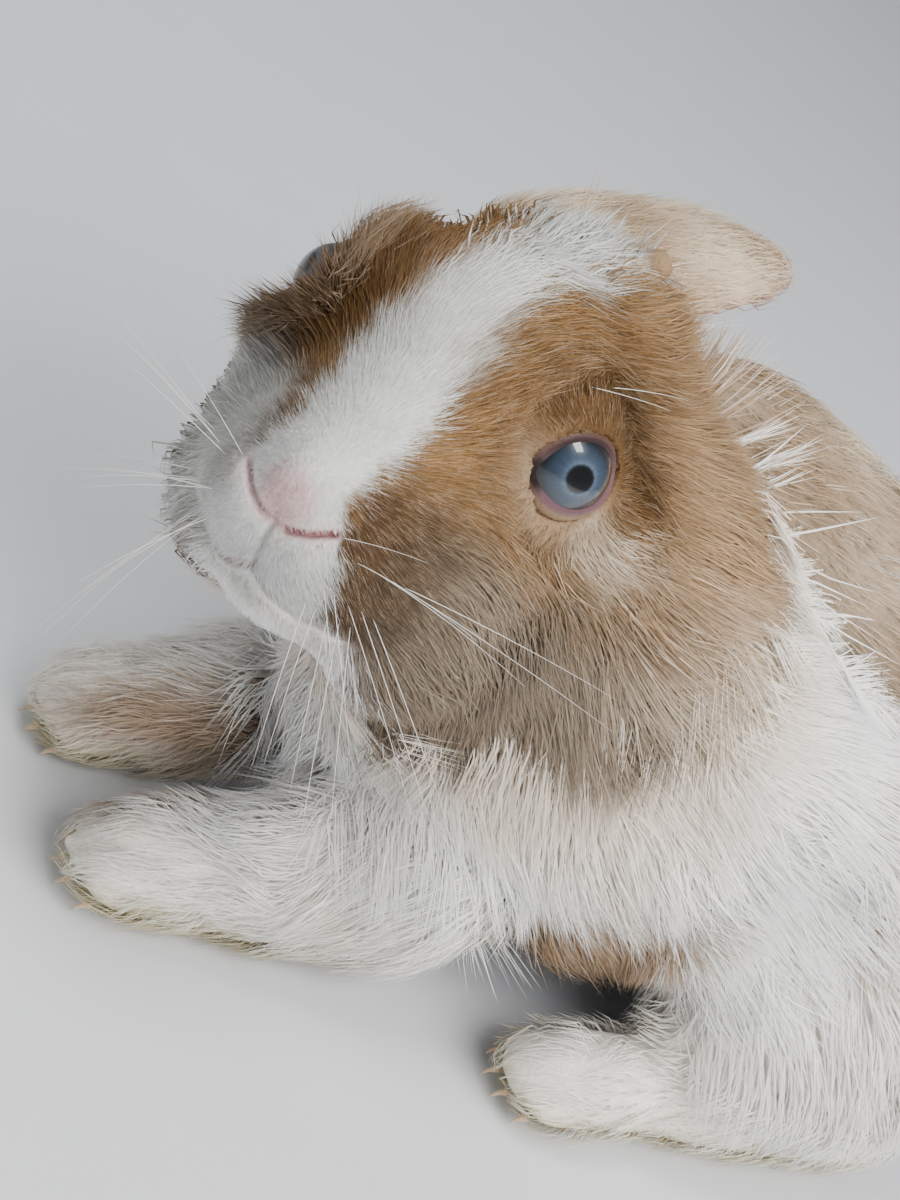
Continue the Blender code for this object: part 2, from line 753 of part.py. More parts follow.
def flipped(masses, side):
    """World masses of the left side carried to the given side."""
    return [mass._replace(centre=(mass.centre[0] * side, *mass.centre[1:])) for mass in masses]


def make_foreleg(side, name, head):
    """A foreleg from the elbow down, with its paw flat on the floor."""
    masses = flipped(FORELEG_MASSES + toes((20.0, -111.0, 8.0), TOE_SPREAD), side)
    leg = grown_form(name, masses, (side * 23.0, -82.0, 17.0), 440, stretch=(0.7, 1.4, 0.9), fineness=5)
    combine(leg, [half_space((0, 0, 0), (0, 0, -1))], "DIFFERENCE")
    return clear_of(leg, [head])


def make_hindleg(side, name):
    """A hind leg: the haunch, and the long foot flat on the floor under it."""
    haunch_masses, centre = flipped(HAUNCH_MASSES, side), (side * 44.0, 34.0, 40.0)
    haunch = grown_form(name, haunch_masses, centre, 420, fineness=5, coat=haunch_coat)

    def wanted(roots):
        """The outer side of the haunch, above the foot."""
        return (roots[:, 0] * side > 50.0) & (roots[:, 2] > 24.0) & (roots[:, 2] < 74.0)

    locks = grow_locks(haunch_masses, centre, 34, haunch_coat, HAUNCH_COAT, wanted, 26.0, 18.0, 14)
    masses = flipped(HIND_FOOT_MASSES + toes((51.0, -24.0, 7.5), TOE_SPREAD), side)
    foot = grown_form("foot", masses, (side * 50.5, 12.0, 11.0), 420, stretch=(0.5, 1.7, 0.5), fineness=5)
    combine(haunch, [foot, *locks], "UNION")
    return combine(haunch, [half_space((0, 0, 0), (0, 0, -1))], "DIFFERENCE")


def make_tail(trunk):
    """The tail: a short puff of locks, turned up against the rump."""
    centre = (0.0, 108.0, 54.0)
    tail = grown_form("tail", TAIL_MASSES, centre, 160, fineness=4, coat=tail_coat)

    def outer(roots):
        """The side away from the rump."""
        return roots[:, 1] > 106.0

    locks = grow_locks(TAIL_MASSES, centre, 15, tail_coat, TAIL_COAT, outer, 17.0, 14.0, 15)
    combine(tail, locks, "UNION")
    return clear_of(tail, [trunk])


def make_trunk(head, others):
    """Neck and torso: one form, cut at the collar and cleared round what stands against it."""
    point, facing = neck_plane()
    stop = (np.array(point - facing * 2.0 * MM) / MM, -np.array(facing))
    masses = HEAD_MASSES + TRUNK_MASSES
    trunk = grown_form("torso", masses, TRUNK_CENTRE, 1000, stop, TRUNK_STRETCH, coat=body_coat)
    point = point + facing * GAP
    combine(trunk, [half_space(point, -facing)], "DIFFERENCE")
    neck = twin(trunk)
    neck.name = "neck"
    collar = Vector((0.0, -42.0, 88.0)) * MM
    lean = Vector((0.10, -0.88, 0.46)).normalized()
    combine(neck, [half_space(collar + lean * GAP / 2.0, -lean)], "DIFFERENCE")
    combine(trunk, [half_space(collar - lean * GAP / 2.0, lean)], "DIFFERENCE")

    def on_neck(roots):
        """Between the two cuts, and above the floor."""
        past_head = (roots - np.array(point) / MM) @ np.array(facing)
        past_collar = (roots - np.array(collar) / MM) @ np.array(lean)
        return (past_head > 2.0) & (past_collar > 2.0) & (roots[:, 2] > 24.0)

    def on_torso(roots):
        """Behind the collar, on the sides, the back and the rump, and not between the legs."""
        past_collar = (roots - np.array(collar) / MM) @ np.array(lean)
        return (past_collar < -2.0) & (roots[:, 2] > 34.0)

    locks = grow_locks(masses, (0.0, -50.0, 66.0), 84, body_coat, COAT_DEPTH, on_neck, 28.0, 18.0, 12)
    combine(neck, locks, "UNION")
    locks = grow_locks(masses, TRUNK_CENTRE, 64, body_coat, COAT_DEPTH, on_torso, 40.0, 27.0, 13, stretch=TRUNK_STRETCH)
    combine(trunk, locks, "UNION")
    clear_of(neck, [head, *others])
    clear_of(trunk, [neck, head, *others])
    combine(trunk, [half_space((0.0, 0.0, BELLY_CLEAR), (0, 0, -1))], "DIFFERENCE")
    return trunk, neck


def finish(forms, shown, materials):
    """Puts the origin under the middle of the rabbit's box and hands each node its material."""
    corners = [form.matrix_world @ Vector(corner) for form in forms for corner in form.bound_box]
    low = Vector([min(corner[axis] for corner in corners) for axis in range(3)])
    high = Vector([max(corner[axis] for corner in corners) for axis in range(3)])
    shift = Vector((-(low.x + high.x) / 2.0, -(low.y + high.y) / 2.0, -low.z))
    for form in forms:
        form.data.transform(Matrix.Translation(shift))
        for home in list(form.users_collection):
            home.objects.unlink(form)
        shown.objects.link(form)
        form.data.materials.clear()
        form.data.materials.append(materials[form.name.split("_")[0]])
        form.data.shade_smooth()
        form.data.set_sharp_from_angle(angle=math.radians(50.0))


def main():
    """Builds every node of the rabbit."""
    clear_scene()
    shown = new_collection("rabbit")
    fawn = coat_material("fawn coat", FUR_COLOURS["fawn"])
    white = coat_material("white coat", FUR_COLOURS["white"])
    eye = coat_material("eye", FUR_COLOURS["iris"], 0.08)

    head = make_head()
    eyes = [make_eye(1.0, "eye_left"), make_eye(-1.0, "eye_right")]
    forelegs = [make_foreleg(1.0, "foreleg_left", head), make_foreleg(-1.0, "foreleg_right", head)]
    hindlegs = [make_hindleg(1.0, "hindleg_left"), make_hindleg(-1.0, "hindleg_right")]
    legs = forelegs + hindlegs
    ear = make_ear(1.0, "ear_left", [head, *legs])
    ears = [ear, make_ear(-1.0, "ear_right", [head, ear, *legs])]
    trunk, neck = make_trunk(head, legs + ears)
    tail = make_tail(trunk)

    forms = [head, neck, trunk, tail, *ears, *eyes, *forelegs, *hindlegs]
    finish(forms, shown, {
        "head": fawn, "neck": white, "torso": white, "tail": white,
        "ear": fawn, "eye": eye, "foreleg": white, "hindleg": white,
    })


main()
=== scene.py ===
"""Looks of a life-size holland lop rabbit: skin, coat, eyes, whiskers and claws, on a plain floor.

Lengths inside the classes are in millimetres unless a name says otherwise, and the meshes are
in metres. The head has axes of its own, and most places on it are given in those.
"""

from __future__ import annotations

import json
import logging
import math
from dataclasses import dataclass, field, fields
from enum import Enum
from typing import ClassVar

import bmesh
import bpy
import numpy as np
from mathutils import Matrix, Vector
from mathutils.bvhtree import BVHTree
from mathutils.kdtree import KDTree

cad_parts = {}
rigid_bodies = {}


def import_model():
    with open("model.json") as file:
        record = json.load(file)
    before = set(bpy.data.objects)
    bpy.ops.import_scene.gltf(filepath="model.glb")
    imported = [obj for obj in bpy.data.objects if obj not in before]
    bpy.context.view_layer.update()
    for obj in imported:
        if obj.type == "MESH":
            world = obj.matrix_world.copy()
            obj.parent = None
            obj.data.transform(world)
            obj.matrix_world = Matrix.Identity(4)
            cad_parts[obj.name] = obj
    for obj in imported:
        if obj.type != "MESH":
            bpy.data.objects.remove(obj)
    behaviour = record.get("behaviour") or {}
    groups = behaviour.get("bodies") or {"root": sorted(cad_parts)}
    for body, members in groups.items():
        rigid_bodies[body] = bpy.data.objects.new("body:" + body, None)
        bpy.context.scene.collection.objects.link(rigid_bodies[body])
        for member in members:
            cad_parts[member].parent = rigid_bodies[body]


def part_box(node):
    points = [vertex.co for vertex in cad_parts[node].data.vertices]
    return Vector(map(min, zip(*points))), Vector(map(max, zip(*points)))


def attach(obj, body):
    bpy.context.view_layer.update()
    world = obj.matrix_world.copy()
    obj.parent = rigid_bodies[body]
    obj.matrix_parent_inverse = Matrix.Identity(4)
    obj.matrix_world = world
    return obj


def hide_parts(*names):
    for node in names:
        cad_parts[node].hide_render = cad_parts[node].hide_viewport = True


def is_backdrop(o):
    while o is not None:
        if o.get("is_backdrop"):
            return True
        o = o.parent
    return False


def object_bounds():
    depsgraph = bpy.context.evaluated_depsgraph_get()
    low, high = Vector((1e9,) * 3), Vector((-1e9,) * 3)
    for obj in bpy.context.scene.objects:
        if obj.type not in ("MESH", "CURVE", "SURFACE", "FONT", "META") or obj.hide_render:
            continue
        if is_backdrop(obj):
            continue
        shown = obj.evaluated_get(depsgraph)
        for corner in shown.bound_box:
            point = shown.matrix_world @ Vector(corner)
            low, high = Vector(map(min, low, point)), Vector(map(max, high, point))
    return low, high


MM = 0.001
LOG = logging.getLogger("rabbit")
FLESH = (
    "head", "neck", "torso", "tail", "ear_left", "ear_right",
    "foreleg_left", "foreleg_right", "hindleg_left", "hindleg_right",
)
FLOOR_CLEAR = 0.6
COAT_ATTRIBUTE = "coat"
TUFT_UNWRAP = "OFBake"


class Side(Enum):
    """The rabbit's own left and right, as the sign of its sideways axis."""

    LEFT = 1.0
    RIGHT = -1.0


class Zone(Enum):
    """The part of the body that a point of the skin belongs to."""

    HEAD = (0,)
    NECK = (1,)
    TORSO = (2,)
    TAIL = (3,)
    EAR = (4, 5)
    FORELEG = (6, 7)
    HINDLEG = (8, 9)

    def holds(self, labels: np.ndarray) -> np.ndarray:
        """Whether each label names one of this zone's nodes."""
        return np.isin(labels, self.value)


def ramp(values: np.ndarray, start: float, end: float) -> np.ndarray:
    """A smooth rise from 0 at start to 1 at end.

    Args:
        values: What is measured.
        start: Where the rise begins.
        end: Where it is over, on either side of the start.

    Returns:
        A share from 0 to 1 for each value.
    """
    share = np.clip((values - start) / (end - start), 0.0, 1.0)
    return share * share * (3.0 - 2.0 * share)


def unit(vectors: np.ndarray) -> np.ndarray:
    """Each row at length one."""
    return vectors / np.maximum(np.linalg.norm(vectors, axis=-1, keepdims=True), 1e-9)


def ripple(points: np.ndarray, size: float, seed: int) -> np.ndarray:
    """Smooth, patchy variation over space.

    Args:
        points: Places in millimetres, one a row.
        size: The width of a patch, in millimetres.
        seed: Which variation of many.

    Returns:
        A number from about -1 to 1 for each point.
    """
    draw = np.random.default_rng(seed)
    total = np.zeros(len(points))
    for _ in range(7):
        wave = unit(draw.normal(size=3)) * (2.0 * math.pi / size) * draw.uniform(0.4, 1.2)
        total += np.sin(points @ wave + draw.uniform(0.0, 2.0 * math.pi))
    return np.clip(total / 3.4, -1.0, 1.0)


def linear(colour: tuple[int, int, int]) -> np.ndarray:
    """A screen colour from 0 to 255 as the linear light that shaders use."""
    share = np.array(colour, float) / 255.0
    return np.where(share <= 0.04045, share / 12.92, ((share + 0.055) / 1.055) ** 2.4)


def select_only(*forms: bpy.types.Object) -> None:
    """Selects these objects alone and makes the first one active.

    Args:
        forms: The objects.
    """
    for shown in bpy.context.view_layer.objects:
        shown.select_set(False)
    for form in forms:
        form.select_set(True)
    bpy.context.view_layer.objects.active = forms[0]


def apply_all(form: bpy.types.Object) -> None:
    """Applies every modifier of a form, in order.

    Args:
        form: The object.
    """
    select_only(form)
    for modifier in list(form.modifiers):
        bpy.ops.object.modifier_apply(modifier=modifier.name)


def mesh_object(name: str, points: np.ndarray, faces: np.ndarray) -> bpy.types.Object:
    """A smooth-shaded object from arrays.

    Args:
        name: The object's name.
        points: Places in metres, one a row.
        faces: Corner numbers, one face a row, with as many corners in each.

    Returns:
        The new object, linked to the scene.
    """
    mesh = bpy.data.meshes.new(name)
    mesh.vertices.add(len(points))
    mesh.vertices.foreach_set("co", points.astype(np.float32).ravel())
    mesh.loops.add(faces.size)
    mesh.loops.foreach_set("vertex_index", faces.astype(np.int32).ravel())
    mesh.polygons.add(len(faces))
    mesh.polygons.foreach_set("loop_start", np.arange(0, faces.size, faces.shape[1], dtype=np.int32))
    mesh.update(calc_edges=True)
    mesh.shade_smooth()
    form = bpy.data.objects.new(name, mesh)
    bpy.context.scene.collection.objects.link(form)
    return form


def points_of(mesh: bpy.types.Mesh) -> np.ndarray:
    """The places of a mesh's corners.

    Args:
        mesh: The mesh.

    Returns:
        Metres, one place a row.
    """
    found = np.zeros(len(mesh.vertices) * 3, np.float32)
    mesh.vertices.foreach_get("co", found)
    return found.reshape(-1, 3).astype(float)


def normals_of(mesh: bpy.types.Mesh) -> np.ndarray:
    """The way a surface faces at each corner.

    Args:
        mesh: The mesh.

    Returns:
        A unit vector for each corner.
    """
    found = np.zeros(len(mesh.vertices) * 3, np.float32)
    mesh.vertex_normals.foreach_get("vector", found)
    return found.reshape(-1, 3).astype(float)


def triangles_of(mesh: bpy.types.Mesh) -> tuple[np.ndarray, np.ndarray]:
    """A mesh's triangles.

    Args:
        mesh: The mesh.

    Returns:
        The corners' numbers and the loops' numbers, one triangle a row.
    """
    mesh.calc_loop_triangles()
    corners = np.zeros(len(mesh.loop_triangles) * 3, np.int32)
    loops = np.zeros(len(mesh.loop_triangles) * 3, np.int32)
    mesh.loop_triangles.foreach_get("vertices", corners)
    mesh.loop_triangles.foreach_get("loops", loops)
    return corners.reshape(-1, 3), loops.reshape(-1, 3)


def edges_of(mesh: bpy.types.Mesh) -> np.ndarray:
    """A mesh's edges.

    Args:
        mesh: The mesh.

    Returns:
        The two corners' numbers, one edge a row.
    """
    found = np.zeros(len(mesh.edges) * 2, np.int32)
    mesh.edges.foreach_get("vertices", found)
    return found.reshape(-1, 2)


def put_points(mesh: bpy.types.Mesh, points: np.ndarray) -> None:
    """Moves a mesh's corners to new places, in metres."""
    mesh.vertices.foreach_set("co", points.astype(np.float32).ravel())
    mesh.update()


def relaxed(values: np.ndarray, edges: np.ndarray, share: np.ndarray, steps: int) -> np.ndarray:
    """Values evened out with their neighbours over a mesh.

    Args:
        values: One row for each corner.
        edges: The two corners of each edge.
        share: How far each corner goes towards its neighbours' mean in one step.
        steps: How many steps.

    Returns:
        The evened values.
    """
    count = len(values)
    start, end = edges.T
    degree = np.maximum(np.bincount(edges.ravel(), minlength=count), 1)[:, None]
    for _ in range(steps):
        total = np.stack([
            np.bincount(start, column[end], count) + np.bincount(end, column[start], count)
            for column in values.T
        ], axis=1)
        values = values + (total / degree - values) * share[:, None]
    return values


def blurred(values: np.ndarray, edges: np.ndarray, steps: int) -> np.ndarray:
    """One number for each corner, evened out with the neighbours'."""
    return relaxed(values[:, None], edges, np.full(len(values), 0.5), steps)[:, 0]


def paleness(colours: np.ndarray) -> np.ndarray:
    """How pale each linear colour is, from 0 to 1, one a row."""
    return np.clip(colours.mean(axis=1, keepdims=True) * 1.3, 0.0, 1.0)


def paint(mesh: bpy.types.Mesh, colours: np.ndarray) -> None:
    """Stores colours in a mesh, under the coat's name.

    Args:
        mesh: The mesh.
        colours: A linear colour for each corner.
    """
    layer = mesh.color_attributes.new(name=COAT_ATTRIBUTE, type="FLOAT_COLOR", domain="POINT")
    full = np.ones((len(colours), 4), np.float32)
    full[:, :3] = colours
    layer.data.foreach_set("color", full.ravel())


@dataclass(frozen=True)
class HeadFrame:
    """The head's own axes: x to the nose, y to the rabbit's left, z to the crown."""

    turn: float = 36.0
    lift: float = 12.0
    tilt: float = -5.0
    eyes_middle: tuple[float, float, float] = (15.19, 0.0, 10.15)

    def axes(self) -> np.ndarray:
        """The head's axes.

        Returns:
            The three axes as columns, in the model's own frame.
        """
        turn, lift, tilt = (math.radians(angle) for angle in (self.turn, self.lift, self.tilt))
        ahead = np.array((math.sin(turn), -math.cos(turn), 0.0))
        left = np.array((math.cos(turn), math.sin(turn), 0.0))
        up = np.array((0.0, 0.0, 1.0))
        front = ahead * math.cos(lift) + up * math.sin(lift)
        crown = up * math.cos(lift) - ahead * math.sin(lift)
        near = left * math.cos(tilt) - crown * math.sin(tilt)
        crown = crown * math.cos(tilt) + left * math.sin(tilt)
        return np.stack([front, near, crown], axis=1)

    def origin(self) -> np.ndarray:
        """The middle of the head, worked out from the eyes' solids.

        Returns:
            A place in millimetres of the model's frame.
        """
        eyes = [np.mean(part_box(eye), axis=0) for eye in ("eye_left", "eye_right")]
        return np.mean(eyes, axis=0) / MM - self.axes() @ np.array(self.eyes_middle)

    def inside(self, points: np.ndarray) -> np.ndarray:
        """Model millimetres as head millimetres."""
        return (points - self.origin()) @ self.axes()

    def world(self, points: np.ndarray) -> np.ndarray:
        """Head millimetres as model millimetres."""
        return self.origin() + np.asarray(points, float) @ self.axes().T


@dataclass(frozen=True)
class Palette:
    """Screen colours of the coat and the bare skin."""

    white: tuple[int, int, int] = (247, 245, 240)
    # blaze: the white of the face, greyer than the body's white as painted shade, the face taking less light
    # than the chest.
    blaze: tuple[int, int, int] = (214, 214, 210)
    cream: tuple[int, int, int] = (238, 225, 204)
    beige: tuple[int, int, int] = (222, 202, 176)
    fawn: tuple[int, int, int] = (148, 114, 76)
    orange: tuple[int, int, int] = (118, 86, 53)
    brown: tuple[int, int, int] = (80, 61, 42)
    grey: tuple[int, int, int] = (140, 127, 111)
    dark: tuple[int, int, int] = (92, 66, 52)
    stain: tuple[int, int, int] = (206, 192, 142)
    pink: tuple[int, int, int] = (226, 168, 166)
    # deep: the deep pink of the lips and nostrils, partly their own colour and partly painted shade in their
    # creases.
    deep: tuple[int, int, int] = (158, 84, 90)
    bare: tuple[int, int, int] = (204, 150, 146)
    lid_edge: tuple[int, int, int] = (98, 72, 76)
    lid_shade: tuple[int, int, int] = (36, 26, 24)


@dataclass(frozen=True)
class Muzzle:
    """The lines of the nose and mouth, in head millimetres, seen from inside the muzzle."""

    inner: tuple[float, float, float] = (10.0, 0.0, -12.0)
    slit: tuple[tuple[float, float, float], ...] = (
        (46.0, 0.0, -20.5), (45.0, 3.0, -20.0), (43.5, 6.3, -18.0), (41.0, 9.0, -15.4),
    )
    lips: tuple[tuple[float, float, float], ...] = (
        (42.0, 0.0, -29.5), (40.0, 4.0, -31.5), (37.0, 8.5, -32.5),
        (32.0, 12.5, -32.0), (27.0, 16.0, -30.5),
    )
    cleft: tuple[tuple[float, float, float], ...] = (
        (46.5, 0.0, -19.5), (46.0, 0.0, -23.0), (45.0, 0.0, -26.0), (42.0, 0.0, -30.0),
    )
    away: float = 9.0

    def off_line(self, head: np.ndarray, line: tuple[tuple[float, float, float], ...]) -> np.ndarray:
        """How far points of the face are from a line, the same on both sides.

        Args:
            head: Head millimetres, one a row.
            line: The line's points.

        Returns:
            Millimetres along the surface, large for points that aren't on the face.
        """
        away = head - np.array(self.inner)
        reach = np.linalg.norm(away, axis=1)
        seen = unit(away)
        seen[:, 1] = np.abs(seen[:, 1])
        knots = unit(np.array(line) - np.array(self.inner))
        best = np.full(len(head), self.away)
        for start, end in zip(knots[:-1], knots[1:]):
            span = end - start
            along = np.clip((seen - start) @ span / (span @ span), 0.0, 1.0)
            best = np.minimum(best, np.linalg.norm(seen - start - along[:, None] * span, axis=1))
        return best * reach


@dataclass(frozen=True)
class EyeShape:
    """The eyeball, its lids and the way it faces, in millimetres."""

    radius: float = 8.4
    facing: tuple[float, float, float] = (0.60, 0.77, 0.23)
    corners: tuple[float, float, float] = (-0.86, 0.52, 0.42)
    half_length: float = 7.4
    half_height: float = 5.7
    iris_radius: float = 6.1
    corner_pinch: float = 0.22

    def centre(self, side: Side) -> np.ndarray:
        """The middle of the eyeball, in model millimetres."""
        return np.mean(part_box("eye_" + side.name.lower()), axis=0) / MM

    def frame(self, head: HeadFrame, side: Side) -> np.ndarray:
        """The axes of one eye.

        Args:
            head: The head that it sits in.
            side: Which eye.

        Returns:
            Columns along the lids, up across them and out of the eye, in the model's frame.
        """
        flip = np.array((1.0, side.value, 1.0))
        out = unit(np.array(self.facing) * flip)
        along = np.array(self.corners) * flip
        along = unit(along - out * (along @ out))
        across = np.cross(out, along)
        if across[2] < 0.0:
            across = -across
        return head.axes() @ np.stack([along, across, out], axis=1)

    def opening(self, angle: np.ndarray) -> tuple[np.ndarray, np.ndarray]:
        """The almond between the lids.

        Args:
            angle: Angles round the eye, from the back corner.

        Returns:
            Millimetres along and across the eye, at each angle.
        """
        along = self.half_length * np.cos(angle)
        across = self.half_height * np.sin(angle) * (1.0 - self.corner_pinch * np.abs(np.cos(angle)) ** 3)
        return along, across

    def beyond(self, local: np.ndarray, rim: float) -> np.ndarray:
        """Where points lie against the opening, made wider by a rim: under 1 is inside."""
        return np.hypot(local[:, 0] / (self.half_length + rim), local[:, 1] / (self.half_height + rim))


@dataclass(frozen=True)
class CoatSizes:
    """How deep the skin lies under the solids, and how long and steep the hair is.

    Depths and lengths are in millimetres, and a rise is the height of a hair's tip over the skin as
    a share of its length. A name that ends in _off is taken from the one before it.
    """

    body_depth: float = 5.2
    head_depth: float = 6.0
    face_depth_off: float = 3.6
    muzzle_depth_off: float = 1.2
    ear_depth: float = 0.8
    tail_depth: float = 4.0
    foreleg_depth: float = 3.4
    paw_depth_off: float = 0.8
    hindleg_depth: float = 4.6
    foot_depth_off: float = 2.0
    eye_depth: float = 0.8
    body_length: float = 19.0
    muzzle_length: float = 3.4
    cheek_longer: float = 6.5
    nape_longer: float = 4.0
    jowl_longer: float = 6.0
    crown_longer: float = 3.5
    far_lip_longer: float = 3.5
    nose_length: float = 1.7
    ear_length: float = 6.5
    foreleg_length: float = 13.0
    paw_length_off: float = 4.5
    hindleg_length: float = 17.0
    foot_length_off: float = 9.0
    eye_length: float = 2.4
    ruffle_length: float = 10.5
    body_rise: float = 0.38
    head_rise: float = 0.42
    face_rise_off: float = 0.20
    crown_steeper: float = 0.16
    far_steeper: float = 0.16
    ruffle_steeper: float = 0.38
    ear_rise: float = 0.26
    leg_rise: float = 0.34
    tail_rise: float = 0.5


@dataclass
class Body:
    """What every piece asks about a point of the body: its zone, its coat and its colour."""

    head: HeadFrame
    eye: EyeShape
    muzzle: Muzzle
    palette: Palette
    sizes: CoatSizes
    tree: KDTree = field(init=False)
    labels: list[int] = field(init=False, default_factory=list)
    eye_centres: list[np.ndarray] = field(init=False)
    ear_ways: dict[int, np.ndarray] = field(init=False, default_factory=dict)
    ear_backs: dict[int, np.ndarray] = field(init=False, default_factory=dict)

    def __post_init__(self) -> None:
        """Sorts the nodes' points for looking up, and finds the way each ear lies."""
        places: list[np.ndarray] = []
        for label, name in enumerate(FLESH):
            mesh = bpy.data.objects[name].data
            points = points_of(mesh)
            middles = points[triangles_of(mesh)[0]].mean(axis=1)
            both = np.concatenate([points, middles]) / MM
            places.append(both)
            self.labels += [label] * len(both)
            if name.startswith("ear"):
                spread = np.linalg.svd(both - both.mean(axis=0), full_matrices=False)[2]
                way, back = spread[0], spread[2]
                self.ear_ways[label] = way * np.sign(way[1])
                self.ear_backs[label] = back * np.sign(back[2])
        every = np.concatenate(places)
        self.tree = KDTree(len(every))
        for number, place in enumerate(every):
            self.tree.insert(place, number)
        self.tree.balance()
        self.eye_centres = [self.eye.centre(side) for side in Side]

    def label(self, points: np.ndarray) -> np.ndarray:
        """The number of the node nearest to each point, in model millimetres."""
        return np.array([self.labels[self.tree.find(point)[1]] for point in points])

    def off_eye(self, points: np.ndarray) -> np.ndarray:
        """How far each point is from the middle of the nearer eyeball."""
        return np.min([np.linalg.norm(points - centre, axis=1) for centre in self.eye_centres], axis=0)

    def face_share(self, head: np.ndarray) -> np.ndarray:
        """1 on the muzzle and 0 behind the face."""
        return ramp(head[:, 0], -22.0, 30.0)

    def depth(self, points: np.ndarray, labels: np.ndarray) -> np.ndarray:
        """How deep the skin lies under the solid, in millimetres.

        Args:
            points: Model millimetres, one a row.
            labels: The number of each point's node.

        Returns:
            The depth at each point.
        """
        sizes = self.sizes
        head = self.head.inside(points)
        low = ramp(points[:, 2], 30.0, 16.0)
        muzzle = ramp(head[:, 0], 34.0, 44.0)
        on_head = sizes.head_depth - sizes.face_depth_off * self.face_share(head)
        on_head = on_head - sizes.muzzle_depth_off * muzzle
        found = np.full(len(points), sizes.body_depth)
        found = np.where(Zone.HEAD.holds(labels), on_head, found)
        found = np.where(Zone.EAR.holds(labels), sizes.ear_depth, found)
        found = np.where(Zone.TAIL.holds(labels), sizes.tail_depth, found)
        found = np.where(Zone.FORELEG.holds(labels), sizes.foreleg_depth - sizes.paw_depth_off * low, found)
        found = np.where(Zone.HINDLEG.holds(labels), sizes.hindleg_depth - sizes.foot_depth_off * low, found)
        near_eye = ramp(self.off_eye(points), 20.0, 11.0)
        return found * (1.0 - near_eye) + sizes.eye_depth * near_eye

    def ruffled(self, head: np.ndarray) -> np.ndarray:
        """Where the fur stands up round the far brow.

        Args:
            head: Head millimetres, one a row.

        Returns:
            A share from 0 to 1 for each point.
        """
        off_brow = np.linalg.norm(head - np.array((21.0, -22.0, 11.0)), axis=1)
        return ramp(off_brow, 19.0, 9.0) * ramp(head[:, 1], -10.0, -16.0) * ramp(head[:, 2], -6.0, 3.0)

    def length(self, points: np.ndarray, labels: np.ndarray) -> np.ndarray:
        """The length of the coat's hair.

        Args:
            points: Model millimetres, one a row.
            labels: The number of each point's node.

        Returns:
            Millimetres at each point.
        """
        sizes = self.sizes
        head = self.head.inside(points)
        x, y, z = head.T
        low = ramp(points[:, 2], 34.0, 14.0)
        jowl = ramp(np.abs(y), 12.0, 26.0) * ramp(z, 6.0, -14.0) * ramp(x, 34.0, 18.0)
        crown = ramp(z, 12.0, 32.0) * ramp(x, 20.0, -10.0)
        far_lip = ramp(y, -12.0, -22.0) * ramp(x, 38.0, 28.0)
        nose = ramp(np.linalg.norm(head - np.array((42.0, 0.0, -13.0)), axis=1), 14.0, 6.0)
        on_head = sizes.muzzle_length + sizes.cheek_longer * ramp(x, 37.0, 12.0)
        on_head += sizes.nape_longer * ramp(x, 8.0, -22.0) + sizes.jowl_longer * jowl
        on_head += sizes.crown_longer * crown + sizes.far_lip_longer * far_lip
        on_head = on_head * (1.0 - nose) + sizes.nose_length * nose
        found = np.where(Zone.HEAD.holds(labels), on_head, sizes.body_length)
        found = np.where(Zone.EAR.holds(labels), sizes.ear_length, found)
        foreleg = sizes.foreleg_length - sizes.paw_length_off * low
        found = np.where(Zone.FORELEG.holds(labels), foreleg, found)
        hindleg = sizes.hindleg_length - sizes.foot_length_off * low
        found = np.where(Zone.HINDLEG.holds(labels), hindleg, found)
        near_eye = ramp(self.off_eye(points), 17.0, 10.0)
        found = found * (1.0 - near_eye) + sizes.eye_length * near_eye
        ruffle = self.ruffled(head)
        return found * (1.0 - ruffle) + sizes.ruffle_length * ruffle

    def rise(self, points: np.ndarray, labels: np.ndarray) -> np.ndarray:
        """How steeply the hair stands.

        Args:
            points: Model millimetres, one a row.
            labels: The number of each point's node.

        Returns:
            The height of a hair's tip over the skin as a share of its length.
        """
        sizes = self.sizes
        head = self.head.inside(points)
        on_head = sizes.head_rise - sizes.face_rise_off * self.face_share(head)
        on_head = on_head + sizes.crown_steeper * ramp(head[:, 2], 16.0, 34.0)
        on_head += sizes.far_steeper * ramp(head[:, 1], -12.0, -22.0)
        on_head = on_head + sizes.ruffle_steeper * self.ruffled(head)
        found = np.where(Zone.HEAD.holds(labels), on_head, sizes.body_rise)
        found = np.where(Zone.EAR.holds(labels), sizes.ear_rise, found)
        on_leg = Zone.FORELEG.holds(labels) | Zone.HINDLEG.holds(labels)
        found = np.where(on_leg, sizes.leg_rise, found)
        return np.where(Zone.TAIL.holds(labels), sizes.tail_rise, found)

